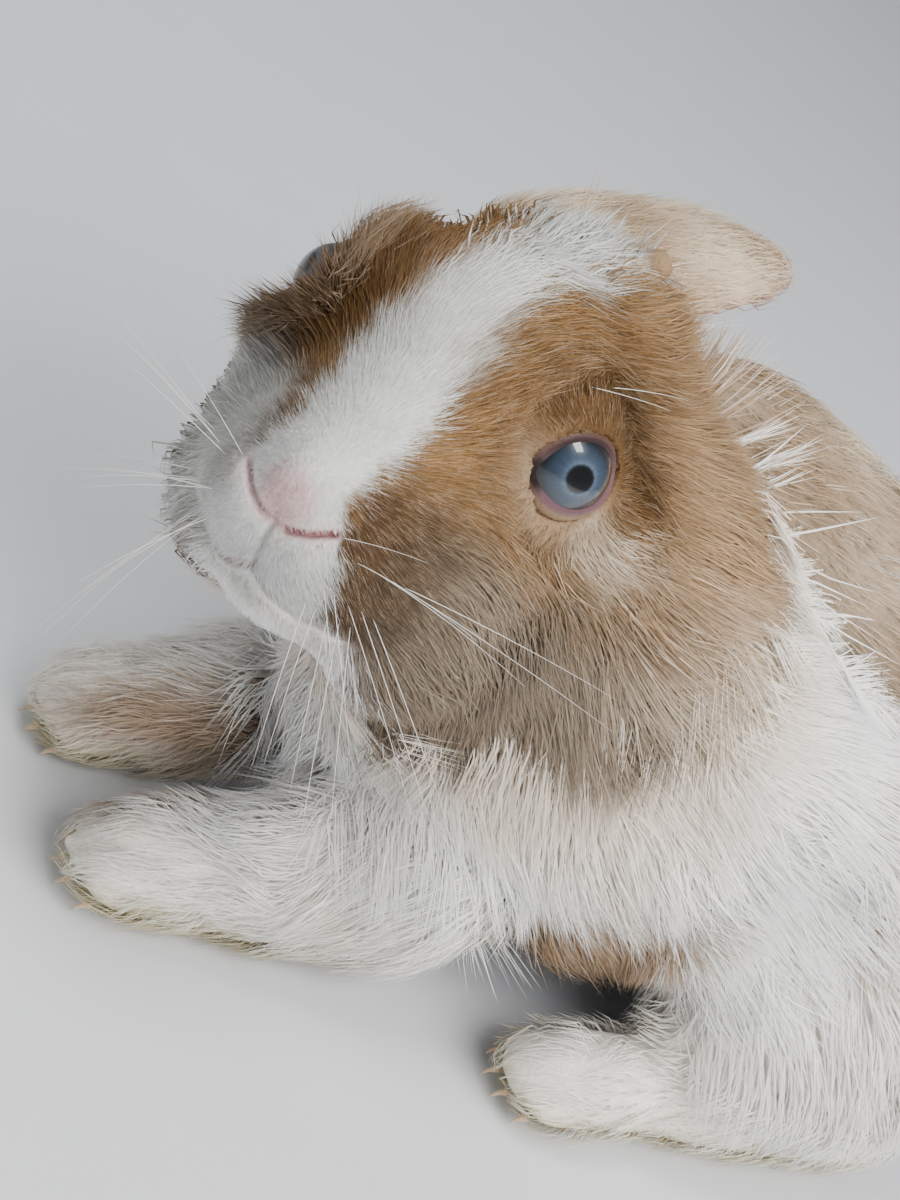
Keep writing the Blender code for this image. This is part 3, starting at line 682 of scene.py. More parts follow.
    def lie(self, points: np.ndarray, facing: np.ndarray, labels: np.ndarray) -> np.ndarray:
        """The way the hair lies over the skin.

        Args:
            points: Model millimetres, one a row.
            facing: The way the skin faces at each point.
            labels: The number of each point's node.

        Returns:
            A unit vector along the skin for each point.
        """
        head = self.head.inside(points)
        down = np.array((0.0, 0.0, -1.0))
        forwards = np.array((0.0, -1.0, 0.0))
        off_nose = unit(points - self.head.world((44.0, 0.0, -12.0)))
        off_throat = unit(points - self.head.world((-4.0, 0.0, -52.0)))
        behind = ramp(-head[:, 0], 14.0, 44.0)[:, None]
        found = off_nose * (1.0 - behind) + off_throat * behind + 0.35 * down
        on_neck = Zone.NECK.holds(labels)[:, None]
        found = np.where(on_neck, off_throat * 0.6 + 0.1 * forwards + 0.8 * down, found)
        low = ramp(points[:, 2], 34.0, 18.0)[:, None]
        paw = forwards + 0.25 * down
        found = np.where(Zone.FORELEG.holds(labels)[:, None], paw + 0.5 * down * (1.0 - low), found)
        haunch = -0.45 * forwards + 0.9 * down
        found = np.where(Zone.HINDLEG.holds(labels)[:, None], haunch * (1.0 - low) + paw * low, found)
        found = np.where(Zone.TAIL.holds(labels)[:, None], -0.4 * forwards - 0.9 * down, found)
        for label, way in self.ear_ways.items():
            found = np.where((labels == label)[:, None], way, found)
        for centre in self.eye_centres:
            near = ramp(np.linalg.norm(points - centre, axis=1), 17.0, 10.0)[:, None]
            found = unit(found) * (1.0 - near) + unit(points - centre) * near * 1.4
        found = found - facing * (found * facing).sum(axis=1)[:, None]
        return unit(found)

    def colour(self, points: np.ndarray, facing: np.ndarray, labels: np.ndarray) -> np.ndarray:
        """The coat's colour by its markings, with some painted shade on the head.

        Args:
            points: Model millimetres, one a row.
            facing: The way the skin faces at each point.
            labels: The number of each point's node.

        Returns:
            A linear colour for each point.
        """
        trunk = self.trunk_colour(points)
        on_leg = (Zone.FORELEG.holds(labels) | Zone.HINDLEG.holds(labels))[:, None]
        found = np.where(Zone.HEAD.holds(labels)[:, None], self.face_colour(points), trunk)
        found = np.where(on_leg, self.leg_colour(points, labels), found)
        return np.where(Zone.EAR.holds(labels)[:, None], self.ear_colour(points, facing, labels), found)

    def marked(self, ground: str, marks: list[tuple[str, np.ndarray]]) -> np.ndarray:
        """Lays markings over a ground colour, one after the other.

        Args:
            ground: The tone of the palette that is under them.
            marks: A tone and its share at each point, for each marking.

        Returns:
            A linear colour for each point.
        """
        found = np.tile(linear(getattr(self.palette, ground)), (len(marks[0][1]), 1))
        for name, share in marks:
            cover = np.clip(share, 0.0, 1.0)[:, None]
            found = found * (1.0 - cover) + linear(getattr(self.palette, name)) * cover
        return found

    def edge(self, points: np.ndarray) -> np.ndarray:
        """Millimetres by which the markings' edges wander."""
        return 1.6 * ripple(points, 9.0, 5) + 0.9 * ripple(points, 3.5, 6)

    def nape(self, head: np.ndarray, edge: np.ndarray) -> np.ndarray:
        """Millimetres along the head, from which the colours of the nape are measured."""
        return head[:, 0] + edge * 1.5 + 0.25 * (head[:, 2] + 10.0)

    def face_colour(self, points: np.ndarray) -> np.ndarray:
        """The markings of the head, with painted shade under the chin, along the lips and in the nostrils.

        Args:
            points: Model millimetres, one a row.

        Returns:
            A linear colour for each point.
        """
        head = self.head.inside(points)
        x, y, z = head.T
        beside = np.abs(y)
        edge = self.edge(points)
        off_eye = self.off_eye(points)
        forehead = ramp(off_eye, 34.0, 14.0) * ramp(z, -2.0, 10.0)
        far_cheek = ramp(y, -14.0, -24.0) * ramp(x, 0.0, 20.0)
        low_cheeks = ramp(z, 0.0, -12.0) * ramp(beside, 10.0, 20.0)
        by_muzzle = ramp(z, 4.0, -8.0) * ramp(x, 22.0, 36.0) * ramp(beside, 6.0, 12.0)
        by_muzzle = by_muzzle * ramp(y, -22.0, -10.0)
        far = ramp(y, -9.0, -14.0)
        far_lip = far * ramp(x + edge, 15.0, 27.0) * ramp(z, 2.0, -6.0)
        near_brow = ramp(off_eye, 27.0, 14.0) * ramp(z - 0.3 * x, 5.0, 13.0) * (1.0 - far)
        cheek_rear = ramp(x, 4.0, -24.0) * ramp(z, -26.0, -8.0) * (1.0 - 0.8 * ramp(z, -4.0, 6.0))
        from_temple = (head - np.array((3.0, 33.0, 1.0))) / np.array((1.2, 1.0, 0.7))
        temple = ramp(np.linalg.norm(from_temple, axis=1) + edge, 11.0, 3.0)
        streak = ramp(np.abs(z + 6.0 + 0.15 * x) + edge, 6.0, 1.0)
        streak = streak * ramp(x, 10.0, -4.0) * ramp(beside, 20.0, 30.0)
        spots = ((41.0, 11.5, -9.0), (39.5, 14.5, -15.0))
        off_spots = np.min([np.linalg.norm(head - np.array(spot), axis=1) for spot in spots], axis=0)
        whisker_spots = ramp(off_spots + 0.5 * edge, 4.0, 1.0)
        off_blaze = np.abs(y + 4.0 * ramp(x, 24.0, -12.0)) + edge
        half_blaze = 5.4 + 2.2 * ramp(x, 20.0, -20.0) + 1.4 * ripple(points, 16.0, 9)
        blaze = (1.0 - ramp(off_blaze, half_blaze - 1.2, half_blaze + 1.8)) * ramp(z, -30.0, -14.0)
        off_snout = beside - 8.5 - 4.0 * ramp(z, -8.0, -24.0) + 0.8 * edge
        snout = (1.0 - ramp(off_snout, -1.2, 1.6)) * ramp(x, 26.0, 34.0)
        # Grey under the chin: partly the fur's own greyish tone, partly painted shade where the chin lies in
        # shade.
        chin_grey_and_shade = ramp(z, -29.0, -36.0) * ramp(x, 16.0, 30.0)
        throat = ramp(z + edge, -31.0, -36.0) * ramp(x, 2.0, 12.0) * ramp(beside, 20.0, 15.0)
        nose = ramp(np.linalg.norm(head - np.array((45.0, 0.0, -15.0)), axis=1), 7.0, 3.0)
        off_slit = self.muzzle.off_line(head, self.muzzle.slit)
        off_nostril = self.muzzle.off_line(head, self.muzzle.slit[1:])
        off_lips = self.muzzle.off_line(head, self.muzzle.lips)
        tip = ramp(x, 34.0, 40.0)
        # The nostrils' slits in deep pink, more on the rabbit's left: partly their own colour, partly
        # painted shade in the slits.
        nostril = (0.3 + 0.5 * ramp(y, -1.0, 1.0)) * ramp(off_nostril, 0.9, 0.35) * tip
        eye_ring = ramp(off_eye + 0.5 * edge, 16.5, 11.0) * ramp(z - 0.25 * x, 12.0, 3.0)
        return self.marked("fawn", [
            ("orange", 0.75 * forehead),
            ("grey", 0.7 * far_cheek),
            ("grey", 0.9 * low_cheeks),
            ("brown", 0.85 * by_muzzle),
            ("blaze", 0.85 * far_lip),
            ("brown", 0.5 * near_brow),
            ("beige", 0.9 * cheek_rear),
            ("cream", 0.5 * temple),
            ("orange", 0.5 * streak),
            ("white", ramp(self.nape(head, edge), -26.0, -36.0)),
            ("dark", 0.45 * whisker_spots),
            ("blaze", blaze),
            ("blaze", snout),
            # Grey under the chin, partly painted shade.
            ("grey", 0.35 * chin_grey_and_shade),
            ("white", throat),
            ("pink", 0.55 * nose),
            ("pink", 0.35 * ramp(off_slit, 2.0, 0.6) * tip),
            # Deep pink along the lips: partly their own lilac colour, partly painted shade in the mouth's
            # crease.
            ("deep", 0.45 * ramp(off_lips, 1.0, 0.3) * ramp(x, 28.0, 36.0)),
            # Nostrils: painted shade in the slits over their own pink.
            ("deep", nostril),
            ("beige", 0.22 * eye_ring),
        ])

    def trunk_colour(self, points: np.ndarray) -> np.ndarray:
        """The markings of the neck, the torso and the tail.

        Args:
            points: Model millimetres, one a row.

        Returns:
            A linear colour for each point.
        """
        head = self.head.inside(points)
        edge = self.edge(points)
        patch = ripple(points, 26.0, 7)
        along_back = points[:, 2] + 9.0 * patch - 0.25 * np.abs(points[:, 0])
        saddle = ramp(along_back, 92.0, 112.0) * ramp(points[:, 1], 0.0, 26.0)
        from_flank = (points - np.array((38.0, -22.0, 34.0))) / np.array((16.0, 18.0, 22.0))
        flank = ramp(np.linalg.norm(from_flank, axis=1) + 0.12 * edge, 1.25, 0.7)
        collar = ramp(self.nape(head, edge), -40.0, -28.0) * ramp(head[:, 2], -52.0, -40.0)
        return self.marked("white", [
            ("cream", 0.02 + 0.2 * patch),
            ("fawn", 0.9 * saddle),
            ("fawn", 0.9 * flank),
            ("beige", 0.6 * collar),
        ])

    def leg_colour(self, points: np.ndarray, labels: np.ndarray) -> np.ndarray:
        """The markings of the legs.

        Args:
            points: Model millimetres, one a row.
            labels: The number of each point's node.

        Returns:
            A linear colour for each point.
        """
        height = points[:, 2]
        patch = ripple(points, 26.0, 7)
        inner = ramp(np.abs(points[:, 0]), 20.0, 12.0) * ramp(height, 6.0, 16.0)
        return self.marked("white", [
            ("cream", 0.2 + 0.2 * patch),
            ("fawn", 0.8 * inner * Zone.FORELEG.holds(labels)),
            ("stain", 0.8 * ramp(height + 2.0 * patch, 13.0, 4.0)),
            ("fawn", 0.75 * ramp(height + 8.0 * patch, 56.0, 70.0) * Zone.HINDLEG.holds(labels)),
        ])

    def ear_colour(self, points: np.ndarray, facing: np.ndarray, labels: np.ndarray) -> np.ndarray:
        """The markings of the ears, bare on the inner face.

        Args:
            points: Model millimetres, one a row.
            facing: The way the skin faces at each point.
            labels: The number of each point's node.

        Returns:
            A linear colour for each point.
        """
        patch = ripple(points, 26.0, 7)
        marks = [
            ("grey", 0.55 * (labels == FLESH.index("ear_left")) + 0.25 * patch),
            ("fawn", 0.35 + 0.35 * patch),
        ]
        for label, back in self.ear_backs.items():
            marks.append(("bare", 0.7 * ramp(facing @ back, -0.1, -0.6) * (labels == label)))
        return self.marked("beige", marks)


@dataclass
class Skin:
    """One closed skin that stands for all the flesh, under the whole coat."""

    body: Body
    voxel: float = 1.55
    swell: float = 0.5
    even_steps: int = 60
    thin: float = 11.0
    flatten_steps: int = 320
    sink_steps: int = 8
    calm_steps: int = 60
    proud: float = 1.6
    loose: float = 0.5
    firm: float = 0.02
    foot: float = 0.05
    lock_share: float = 0.12
    flatten: float = 0.9
    fine_within: float = 3.2
    off_ball: float = 1.2
    slit_depth: float = 1.4
    slit_width: float = 0.6
    mouth_depth: float = 1.1
    mouth_width: float = 0.6

    def build(self) -> bpy.types.Object:
        """Joins the flesh, sinks it by the coat's depth, and cuts the muzzle's lines in.

        Returns:
            The skin, painted and unwrapped.
        """
        skin = self.joined()
        self.remesh(skin)
        self.sink(skin)
        self.remesh(skin)
        self.even(skin, 0.35, 3)
        self.refine(skin)
        self.carve(skin)
        self.clear_eyes(skin)
        self.unwrap(skin)
        points, facing = points_of(skin.data) / MM, normals_of(skin.data)
        labels = self.body.label(points)
        colours = self.body.colour(points, facing, labels)
        # The skin takes the coat's colours, darkened most under dark coat, as painted shade in the gaps
        # between the tufts.
        paint(skin.data, colours * (0.62 + 0.32 * paleness(colours)))
        for node in FLESH:
            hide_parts(node)
        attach(skin, "root")
        return skin

    def joined(self) -> bpy.types.Object:
        """Joins the flesh, each node swollen a little so that they meet.

        Returns:
            One object with every node's surface.
        """
        copies = []
        for name in FLESH:
            source = bpy.data.objects[name]
            copy = bpy.data.objects.new(name + " flesh", source.data.copy())
            bpy.context.scene.collection.objects.link(copy)
            copy.data.materials.clear()
            weld = copy.modifiers.new("weld", "WELD")
            weld.merge_threshold = 0.00001
            grow = copy.modifiers.new("grow", "DISPLACE")
            grow.strength = self.swell * MM
            grow.mid_level = 0.0
            apply_all(copy)
            copies.append(copy)
        select_only(*copies)
        bpy.ops.object.join()
        skin = bpy.context.view_layer.objects.active
        skin.name = skin.data.name = "skin"
        while skin.data.uv_layers:
            skin.data.uv_layers.remove(skin.data.uv_layers[0])
        return skin

    def remesh(self, skin: bpy.types.Object) -> None:
        """Makes the skin one even surface of small squares.

        Args:
            skin: The object, which is changed.
        """
        step = skin.modifiers.new("even", "REMESH")
        step.mode = "VOXEL"
        step.voxel_size = self.voxel * MM
        step.use_smooth_shade = True
        apply_all(skin)

    def even(self, skin: bpy.types.Object, share: float, steps: int) -> None:
        """Evens the whole skin a little.

        Args:
            skin: The object, which is changed.
            share: How far each corner goes in one step.
            steps: How many steps.
        """
        mesh = skin.data
        points = points_of(mesh)
        put_points(mesh, relaxed(points, edges_of(mesh), np.full(len(points), share), steps))

    def looseness(self, points: np.ndarray, labels: np.ndarray) -> np.ndarray:
        """How freely the flesh is evened out: most where the solids have locks.

        Args:
            points: Model millimetres, one a row.
            labels: The number of each point's node.

        Returns:
            A share for each point.
        """
        head = self.body.head.inside(points)
        x, z = head[:, 0], head[:, 2]
        shaggy_zones = (Zone.NECK, Zone.TORSO, Zone.HINDLEG, Zone.TAIL)
        locks = np.any([zone.holds(labels) for zone in shaggy_zones], axis=0)
        jowls = (z < -20.0) & (x < 24.0) | (z < -8.0) & (x < 6.0)
        crown = (z > 22.0) & (x < 10.0)
        shaggy = Zone.HEAD.holds(labels) & ((x < -10.0) | jowls | crown)
        share = np.where(locks | shaggy, self.loose, self.firm)
        return np.where(Zone.HINDLEG.holds(labels) & (points[:, 2] < 22.0), self.foot, share)

    def calmed(
        self, mesh: bpy.types.Mesh, points: np.ndarray, edges: np.ndarray, share: np.ndarray,
    ) -> np.ndarray:
        """Lowers what still stands proud of the skin.

        Args:
            mesh: The skin's mesh, which is moved to the points.
            points: Metres, one a row.
            edges: The mesh's edges.
            share: How freely each corner is evened out.

        Returns:
            The calmer points, in metres.
        """
        put_points(mesh, points)
        facing = normals_of(mesh)
        calm = relaxed(points, edges, share, self.calm_steps)
        over = ((points - calm) * facing).sum(axis=1) / MM - self.proud
        lowered = np.maximum(over, 0.0) * np.clip(2.5 * share, 0.0, 1.0)
        return relaxed(points - facing * lowered[:, None] * MM, edges, share, 6)

    def sink(self, skin: bpy.types.Object) -> None:
        """Takes the locks' forms off the flesh, and sinks the skin by the coat's depth.

        Args:
            skin: The object, which is changed.
        """
        mesh = skin.data
        edges = edges_of(mesh)
        points = points_of(mesh)
        labels = self.body.label(points / MM)
        share = self.looseness(points / MM, labels)
        lock = blurred(self.slender(mesh, np.flatnonzero(share == self.loose)), edges, 4)
        flatten = np.where(lock > self.lock_share, self.flatten, 0.0)
        points = relaxed(points, edges, flatten, self.flatten_steps)
        share = blurred(share, edges, 8)
        points = relaxed(points, edges, share, self.even_steps)
        for _ in range(2):
            points = self.calmed(mesh, points, edges, share)
        depth = blurred(self.body.depth(points / MM, labels) + self.swell, edges, 6)
        gentle = np.minimum(share * 0.6 + 0.03, 0.3)
        for _ in range(self.sink_steps):
            put_points(mesh, points)
            points = points - normals_of(mesh) * (depth / self.sink_steps)[:, None] * MM
            points = relaxed(points, edges, gentle, 1)
        put_points(mesh, points)

    def slender(self, mesh: bpy.types.Mesh, wanted: np.ndarray) -> np.ndarray:
        """Marks the corners where the form is as thin as a lock.

        Args:
            mesh: The skin's mesh.
            wanted: The numbers of the corners that may be on locks.

        Returns:
            1 for each corner on a lock, and 0 for the others.
        """
        points, facing = points_of(mesh) / MM, normals_of(mesh)
        tree = BVHTree.FromPolygons(points.tolist(), triangles_of(mesh)[0].tolist())
        marks = np.zeros(len(points))
        side = unit(np.cross(facing, np.array((0.31, 0.17, 0.93))))
        other = np.cross(facing, side)
        for sideways, up in ((0.0, 0.0), (0.8, 0.0), (-0.8, 0.0), (0.0, 0.8), (0.0, -0.8)):
            ways = unit(-facing + side * sideways + other * up)
            for number in wanted:
                if marks[number]:
                    continue
                way = ways[number]
                hit = tree.ray_cast(Vector(points[number] + way * 0.4), Vector(way), self.thin)
                if hit[3] is not None:
                    marks[number] = 1.0
        return marks

    def refine(self, skin: bpy.types.Object) -> None:
        """Makes the faces of the muzzle finer, so that its lines can be cut in.

        Args:
            skin: The object, which is changed.
        """
        for _ in range(2):
            shape = bmesh.new()
            shape.from_mesh(skin.data)
            middles = np.array([face.calc_center_median() for face in shape.faces]) / MM
            head = self.body.head.inside(middles)
            lines = (self.body.muzzle.slit, self.body.muzzle.cleft, self.body.muzzle.lips)
            near = np.min([self.body.muzzle.off_line(head, line) for line in lines], axis=0)
            wanted = (near < self.fine_within) & (head[:, 0] > 22.0)
            edges = {edge for face, take in zip(shape.faces, wanted) if take for edge in face.edges}
            bmesh.ops.subdivide_edges(shape, edges=list(edges), cuts=1, use_grid_fill=True)
            bmesh.ops.triangulate(shape, faces=[face for face in shape.faces if len(face.verts) > 4])
            shape.to_mesh(skin.data)
            shape.free()
        skin.data.shade_smooth()

    def carve(self, skin: bpy.types.Object) -> None:
        """Cuts the nostrils' slits, the cleft and the mouth into the skin.

        Args:
            skin: The object, which is changed.
        """
        mesh = skin.data
        points = points_of(mesh)
        head = self.body.head.inside(points / MM)
        muzzle = self.body.muzzle
        front = ramp(head[:, 0], 24.0, 34.0)
        slit = np.exp(-(muzzle.off_line(head, muzzle.slit) / self.slit_width) ** 2) * self.slit_depth
        cleft = np.exp(-(muzzle.off_line(head, muzzle.cleft) / self.mouth_width) ** 2) * self.mouth_depth
        lips = np.exp(-(muzzle.off_line(head, muzzle.lips) / self.mouth_width) ** 2) * self.mouth_depth
        cut = np.max([slit, cleft, lips], axis=0) * front
        put_points(mesh, points - normals_of(mesh) * cut[:, None] * MM)

    def clear_eyes(self, skin: bpy.types.Object) -> None:
        """Pushes the skin off the eyeballs, and out of the way of the lids.

        Args:
            skin: The object, which is changed.
        """
        mesh = skin.data
        points = points_of(mesh) / MM
        shape = self.body.eye
        for side, centre in zip(Side, self.body.eye_centres):
            away = points - centre
            reach = np.linalg.norm(away, axis=1)
            local = away @ shape.frame(self.body.head, side)
            cover = (shape.beyond(local, self.off_ball) < 1.0) & (local[:, 2] > 0.0) & (reach < 16.0)
            pushed = np.minimum(reach, shape.radius - self.off_ball)[:, None]
            points = np.where(cover[:, None], centre + unit(away) * pushed, points)
        put_points(mesh, points * MM)

    def unwrap(self, skin: bpy.types.Object) -> None:
        """Lays the skin out flat, in a few dozen pieces.

        Args:
            skin: The object, which gets the layout.
        """
        select_only(skin)
        bpy.ops.object.mode_set(mode="EDIT")
        bpy.ops.mesh.select_all(action="SELECT")
        bpy.ops.uv.smart_project(angle_limit=math.radians(66.0), island_margin=0.002)
        bpy.ops.object.mode_set(mode="OBJECT")


@dataclass
class Surface:
    """A surface that hair grows on, as arrays."""

    points: np.ndarray
    facing: np.ndarray
    triangles: np.ndarray
    flat: np.ndarray

    @classmethod
    def of(cls, form: bpy.types.Object, unwrap: "Surface | None" = None) -> "Surface":
        """The surface of an object.

        Args:
            form: The object.
            unwrap: Another surface whose flat layout is borrowed from its nearest corner.

        Returns:
            Its arrays, in model millimetres.
        """
        points, facing = points_of(form.data) / MM, normals_of(form.data)
        triangles, loops = triangles_of(form.data)
        if unwrap is None:
            flat = np.zeros(len(form.data.loops) * 2, np.float32)
            form.data.uv_layers[0].data.foreach_get("uv", flat)
            return cls(points, facing, triangles, flat.reshape(-1, 2)[loops])
        tree = KDTree(len(unwrap.triangles))
        for number, middle in enumerate(unwrap.points[unwrap.triangles].mean(axis=1)):
            tree.insert(middle, number)
        tree.balance()
        nearest = [tree.find(middle)[1] for middle in points[triangles].mean(axis=1)]
        return cls(points, facing, triangles, unwrap.flat[nearest])

    def scatter(self, count: int, density: np.ndarray, draw: np.random.Generator) -> tuple[np.ndarray, ...]:
        """Random places on the surface.

        Args:
            count: How many.
            density: How thick they stand on each triangle.
            draw: The random source.

        Returns:
            Places, the ways the surface faces there, and the places on the flat layout.
        """
        corners = self.points[self.triangles]
        across = np.cross(corners[:, 1] - corners[:, 0], corners[:, 2] - corners[:, 0])
        weight = np.linalg.norm(across, axis=1) * density
        chosen = draw.choice(len(weight), size=count, p=weight / weight.sum())
        u, v = draw.random(count), draw.random(count)
        over = u + v > 1.0
        u, v = np.where(over, 1.0 - u, u), np.where(over, 1.0 - v, v)
        shares = np.stack([1.0 - u - v, u, v], axis=1)[:, :, None]
        places = (corners[chosen] * shares).sum(axis=1)
        facing = unit((self.facing[self.triangles[chosen]] * shares).sum(axis=1))
        return places, facing, (self.flat[chosen] * shares).sum(axis=1)


@dataclass
class Strands:
    """The hairs of one piece of coat, as arrays with a hair a row, in model millimetres."""

    root: np.ndarray
    facing: np.ndarray
    flat: np.ndarray
    labels: np.ndarray
    guard: np.ndarray
    lie: np.ndarray
    length: np.ndarray
    rise: np.ndarray
    tip: np.ndarray
    arch_up: ClassVar[float] = 0.95
    arch_along: ClassVar[float] = 0.26

    def kept(self, keep: np.ndarray) -> Strands:
        """Only the hairs that keep is true for."""
        return Strands(*(getattr(self, part.name)[keep] for part in fields(self)))

    def arch(self) -> np.ndarray:
        """Where each hair's curve is drawn to, from its root."""
        up = self.facing * (self.length * self.rise * self.arch_up)[:, None]
        return up + self.lie * (self.length * self.arch_along)[:, None]


@dataclass
class Tufts:
    """One piece of coat: many closed, tapered tufts joined in one mesh."""

    name: str
    count: int
    seed: int
    rings: int = 2
    width: float = 0.42
    clump: float = 0.42
    per_clump: int = 24
    jitter: float = 0.15
    soft: float = 0.72
    guard_share: float = 0.035
    guard_reach: float = 1.35
    guard_slim: float = 0.7
    onward_least: float = 0.05
    cover_reach: float = 16.0
    shortest_covered: float = 2.5
    off_lids: float = 0.4
    buried: float = 0.6
    flatness: float = 0.55
    tip_share: float = 0.92
    ring_slim: tuple[float, ...] = (1.0, 0.8)
    light_share: float = 0.35
    patch_size: float = 0.0012
    slot: str = "white_coat"

    def grow(
        self, surface: Surface, density: np.ndarray, body: Body, floor: BVHTree, cover: BVHTree,
        material: bpy.types.Material,
    ) -> bpy.types.Object:
        """Grows the piece on a surface.

        Args:
            surface: What it grows on.
            density: How thick it stands on each triangle of the surface.
            body: Gives its length, lie and colour.
            floor: The skin, for finding how far tips stand over it.
            cover: The ears, which the coat under them stays clear of.
            material: The coat's material.

        Returns:
            The piece.
        """
        draw = np.random.default_rng(self.seed)
        count = self.count
        root, facing, flat = surface.scatter(count, density, draw)
        labels = body.label(root)
        length = body.length(root, labels) * draw.normal(1.0, 0.13, count).clip(0.6, 1.4)
        guard = draw.random(count) < self.guard_share
        length = np.where(guard, length * self.guard_reach, length)
        length *= 1.0 + 0.10 * ripple(root, 17.0, self.seed + 1)
        if "ear" not in self.name:
            length = np.minimum(length, self.room(root, facing, cover))
        lie = body.lie(root, facing, labels)
        across = np.cross(facing, lie)
        swerve = 0.30 * ripple(root, 26.0, 31) + 0.18 * ripple(root, 9.0, 32)
        swerve = swerve + draw.normal(0.0, self.jitter, count)
        lie = lie * np.cos(swerve)[:, None] + across * np.sin(swerve)[:, None]
        rise = body.rise(root, labels) * draw.normal(1.0, 0.18, count).clip(0.4, 1.6)
        rise *= 1.0 + 0.25 * ripple(root, 13.0, 33)
        tip = self.tips(root, lie, length, rise, floor)
        tip = self.clumped(root, tip, length, draw)
        hairs = Strands(root, facing, flat, labels, guard, lie, length, rise, tip)
        arch = hairs.arch()
        onward = (unit(arch) * unit(tip - root - arch)).sum(axis=1)
        hairs = hairs.kept(self.off_eyes(root, tip, body) & (onward > self.onward_least))
        spill = draw.normal(0.0, 1.0, hairs.root.shape) * (0.4 + 0.1 * hairs.length)[:, None]
        colour = body.colour(hairs.root + spill, hairs.facing, hairs.labels)
        piece = self.mesh(hairs, colour, linear(body.palette.beige), draw)
        piece.data.materials.append(material)
        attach(piece, "root")
        return piece

    def room(self, root: np.ndarray, facing: np.ndarray, cover: BVHTree) -> np.ndarray:
        """The longest hair that stays under what covers each root.

        Args:
            root: Model millimetres, one a row.
            facing: The way the skin faces at each root.
            cover: What may lie over the coat.

        Returns:
            Millimetres for each root, very long where nothing covers it.
        """
        found = np.full(len(root), 99.0)
        for number, (place, way) in enumerate(zip(root, facing)):
            hit = cover.ray_cast(Vector(place), Vector(way), self.cover_reach)
            if hit[3] is not None:
                found[number] = max(self.shortest_covered, hit[3] * 1.1)
        return found

    def tips(
        self, root: np.ndarray, lie: np.ndarray, length: np.ndarray, rise: np.ndarray, floor: BVHTree,
    ) -> np.ndarray:
        """The hairs' tips, which follow the skin as it bends away.

        Args:
            root: Model millimetres, one a row.
            lie: The way each hair lies.
            length: Each hair's length.
            rise: How steeply each hair stands.
            floor: The skin.

        Returns:
            Model millimetres, one tip a row.
        """
        flat_reach = length * np.sqrt(np.clip(1.0 - rise**2, 0.1, 1.0))
        found = root + lie * flat_reach[:, None]
        for number, place in enumerate(found):
            spot, way, _, _ = floor.find_nearest(Vector(place))
            found[number] = np.array(spot) + np.array(way) * length[number] * rise[number]
        return found

    def clumped(
        self, root: np.ndarray, tip: np.ndarray, length: np.ndarray, draw: np.random.Generator,
    ) -> np.ndarray:
        """Draws the tips of near hairs together, as a soft coat parts into locks.

        Args:
            root: Model millimetres, one a row.
            tip: Where each hair ends.
            length: Each hair's length.
            draw: The random source.

        Returns:
            The new tips.
        """
        leaders = draw.choice(len(root), size=max(1, len(root) // self.per_clump), replace=False)
        tree = KDTree(len(leaders))
        for number in leaders:
            tree.insert(root[number], int(number))
        tree.balance()
        own = np.array([tree.find(place)[1] for place in root])
        pull = self.clump * draw.uniform(0.5, 1.2, len(root)) * ramp(length, 2.5, 9.0)
        near = np.linalg.norm(root - root[own], axis=1) < 0.6 * length
        return tip + (tip[own] + 0.2 * (root - root[own]) - tip) * (pull * near)[:, None]

    def off_eyes(self, root: np.ndarray, tip: np.ndarray, body: Body) -> np.ndarray:
        """Whether each hair stays out of the openings of the eyes.

        Args:
            root: Model millimetres, one a row.
            tip: Where each hair ends.
            body: Gives the eyes.

        Returns:
            True for each hair that does.
        """
        keep = np.ones(len(root), bool)
        for side, centre in zip(Side, body.eye_centres):
            frame = body.eye.frame(body.head, side)
            for share in (0.0, 0.5, 1.0):
                local = (root + (tip - root) * share - centre) @ frame
                ahead = (local[:, 2] > 0.0) & (np.linalg.norm(local, axis=1) < 24.0)
                keep &= ~((body.eye.beyond(local, self.off_lids) < 1.0) & ahead)
        return keep

    def faces(self) -> np.ndarray:
        """The triangles of one tuft: its root, the bands between its rings, and its tip.

        Returns:
            Corner numbers, one triangle a row.
        """
        found = [(0, 1, 2)]
        for ring in range(self.rings - 1):
            for turn in range(3):
                here, after = 3 * ring + turn, 3 * ring + (turn + 1) % 3
                found += [(here, after + 3, after), (here, here + 3, after + 3)]
        last = 3 * (self.rings - 1)
        found += [(last + (turn + 1) % 3, last + turn, last + 3) for turn in range(3)]
        return np.array(found)

    def mesh(
        self, hairs: Strands, colour: np.ndarray, light_tip: np.ndarray, draw: np.random.Generator,
    ) -> bpy.types.Object:
        """Makes the mesh of the piece from its hairs.

        Args:
            hairs: The hairs.
            colour: A linear colour for each hair.
            light_tip: The linear colour that some of the darker hairs end in.
            draw: The random source.

        Returns:
            The piece, painted and with its flat layout.
        """
        root, flat, tip = hairs.root, hairs.flat, hairs.tip
        count = len(root)
        size = self.width * draw.uniform(0.7, 1.3, count) * np.clip(hairs.length / 9.0, 0.55, 1.25)
        size = size * np.where(hairs.guard, self.guard_slim, 1.0)
        start = root - hairs.facing * self.buried
        bend = root + hairs.arch()
        each = 3 * self.rings + 1
        places, tints, radial = (np.zeros((count, each, 3)) for _ in range(3))
        spots = np.zeros((count, each, 2))
        strand = draw.normal(1.0, 0.18, count).clip(0.5, 1.5)
        strand = strand * (1.0 + 0.16 * ripple(root, 4.0, 41) + 0.12 * ripple(root, 12.0, 42))
        pale = paleness(colour)
        strand = strand[:, None] * (1.0 - pale) + (1.0 + (strand[:, None] - 1.0) * 0.3) * pale
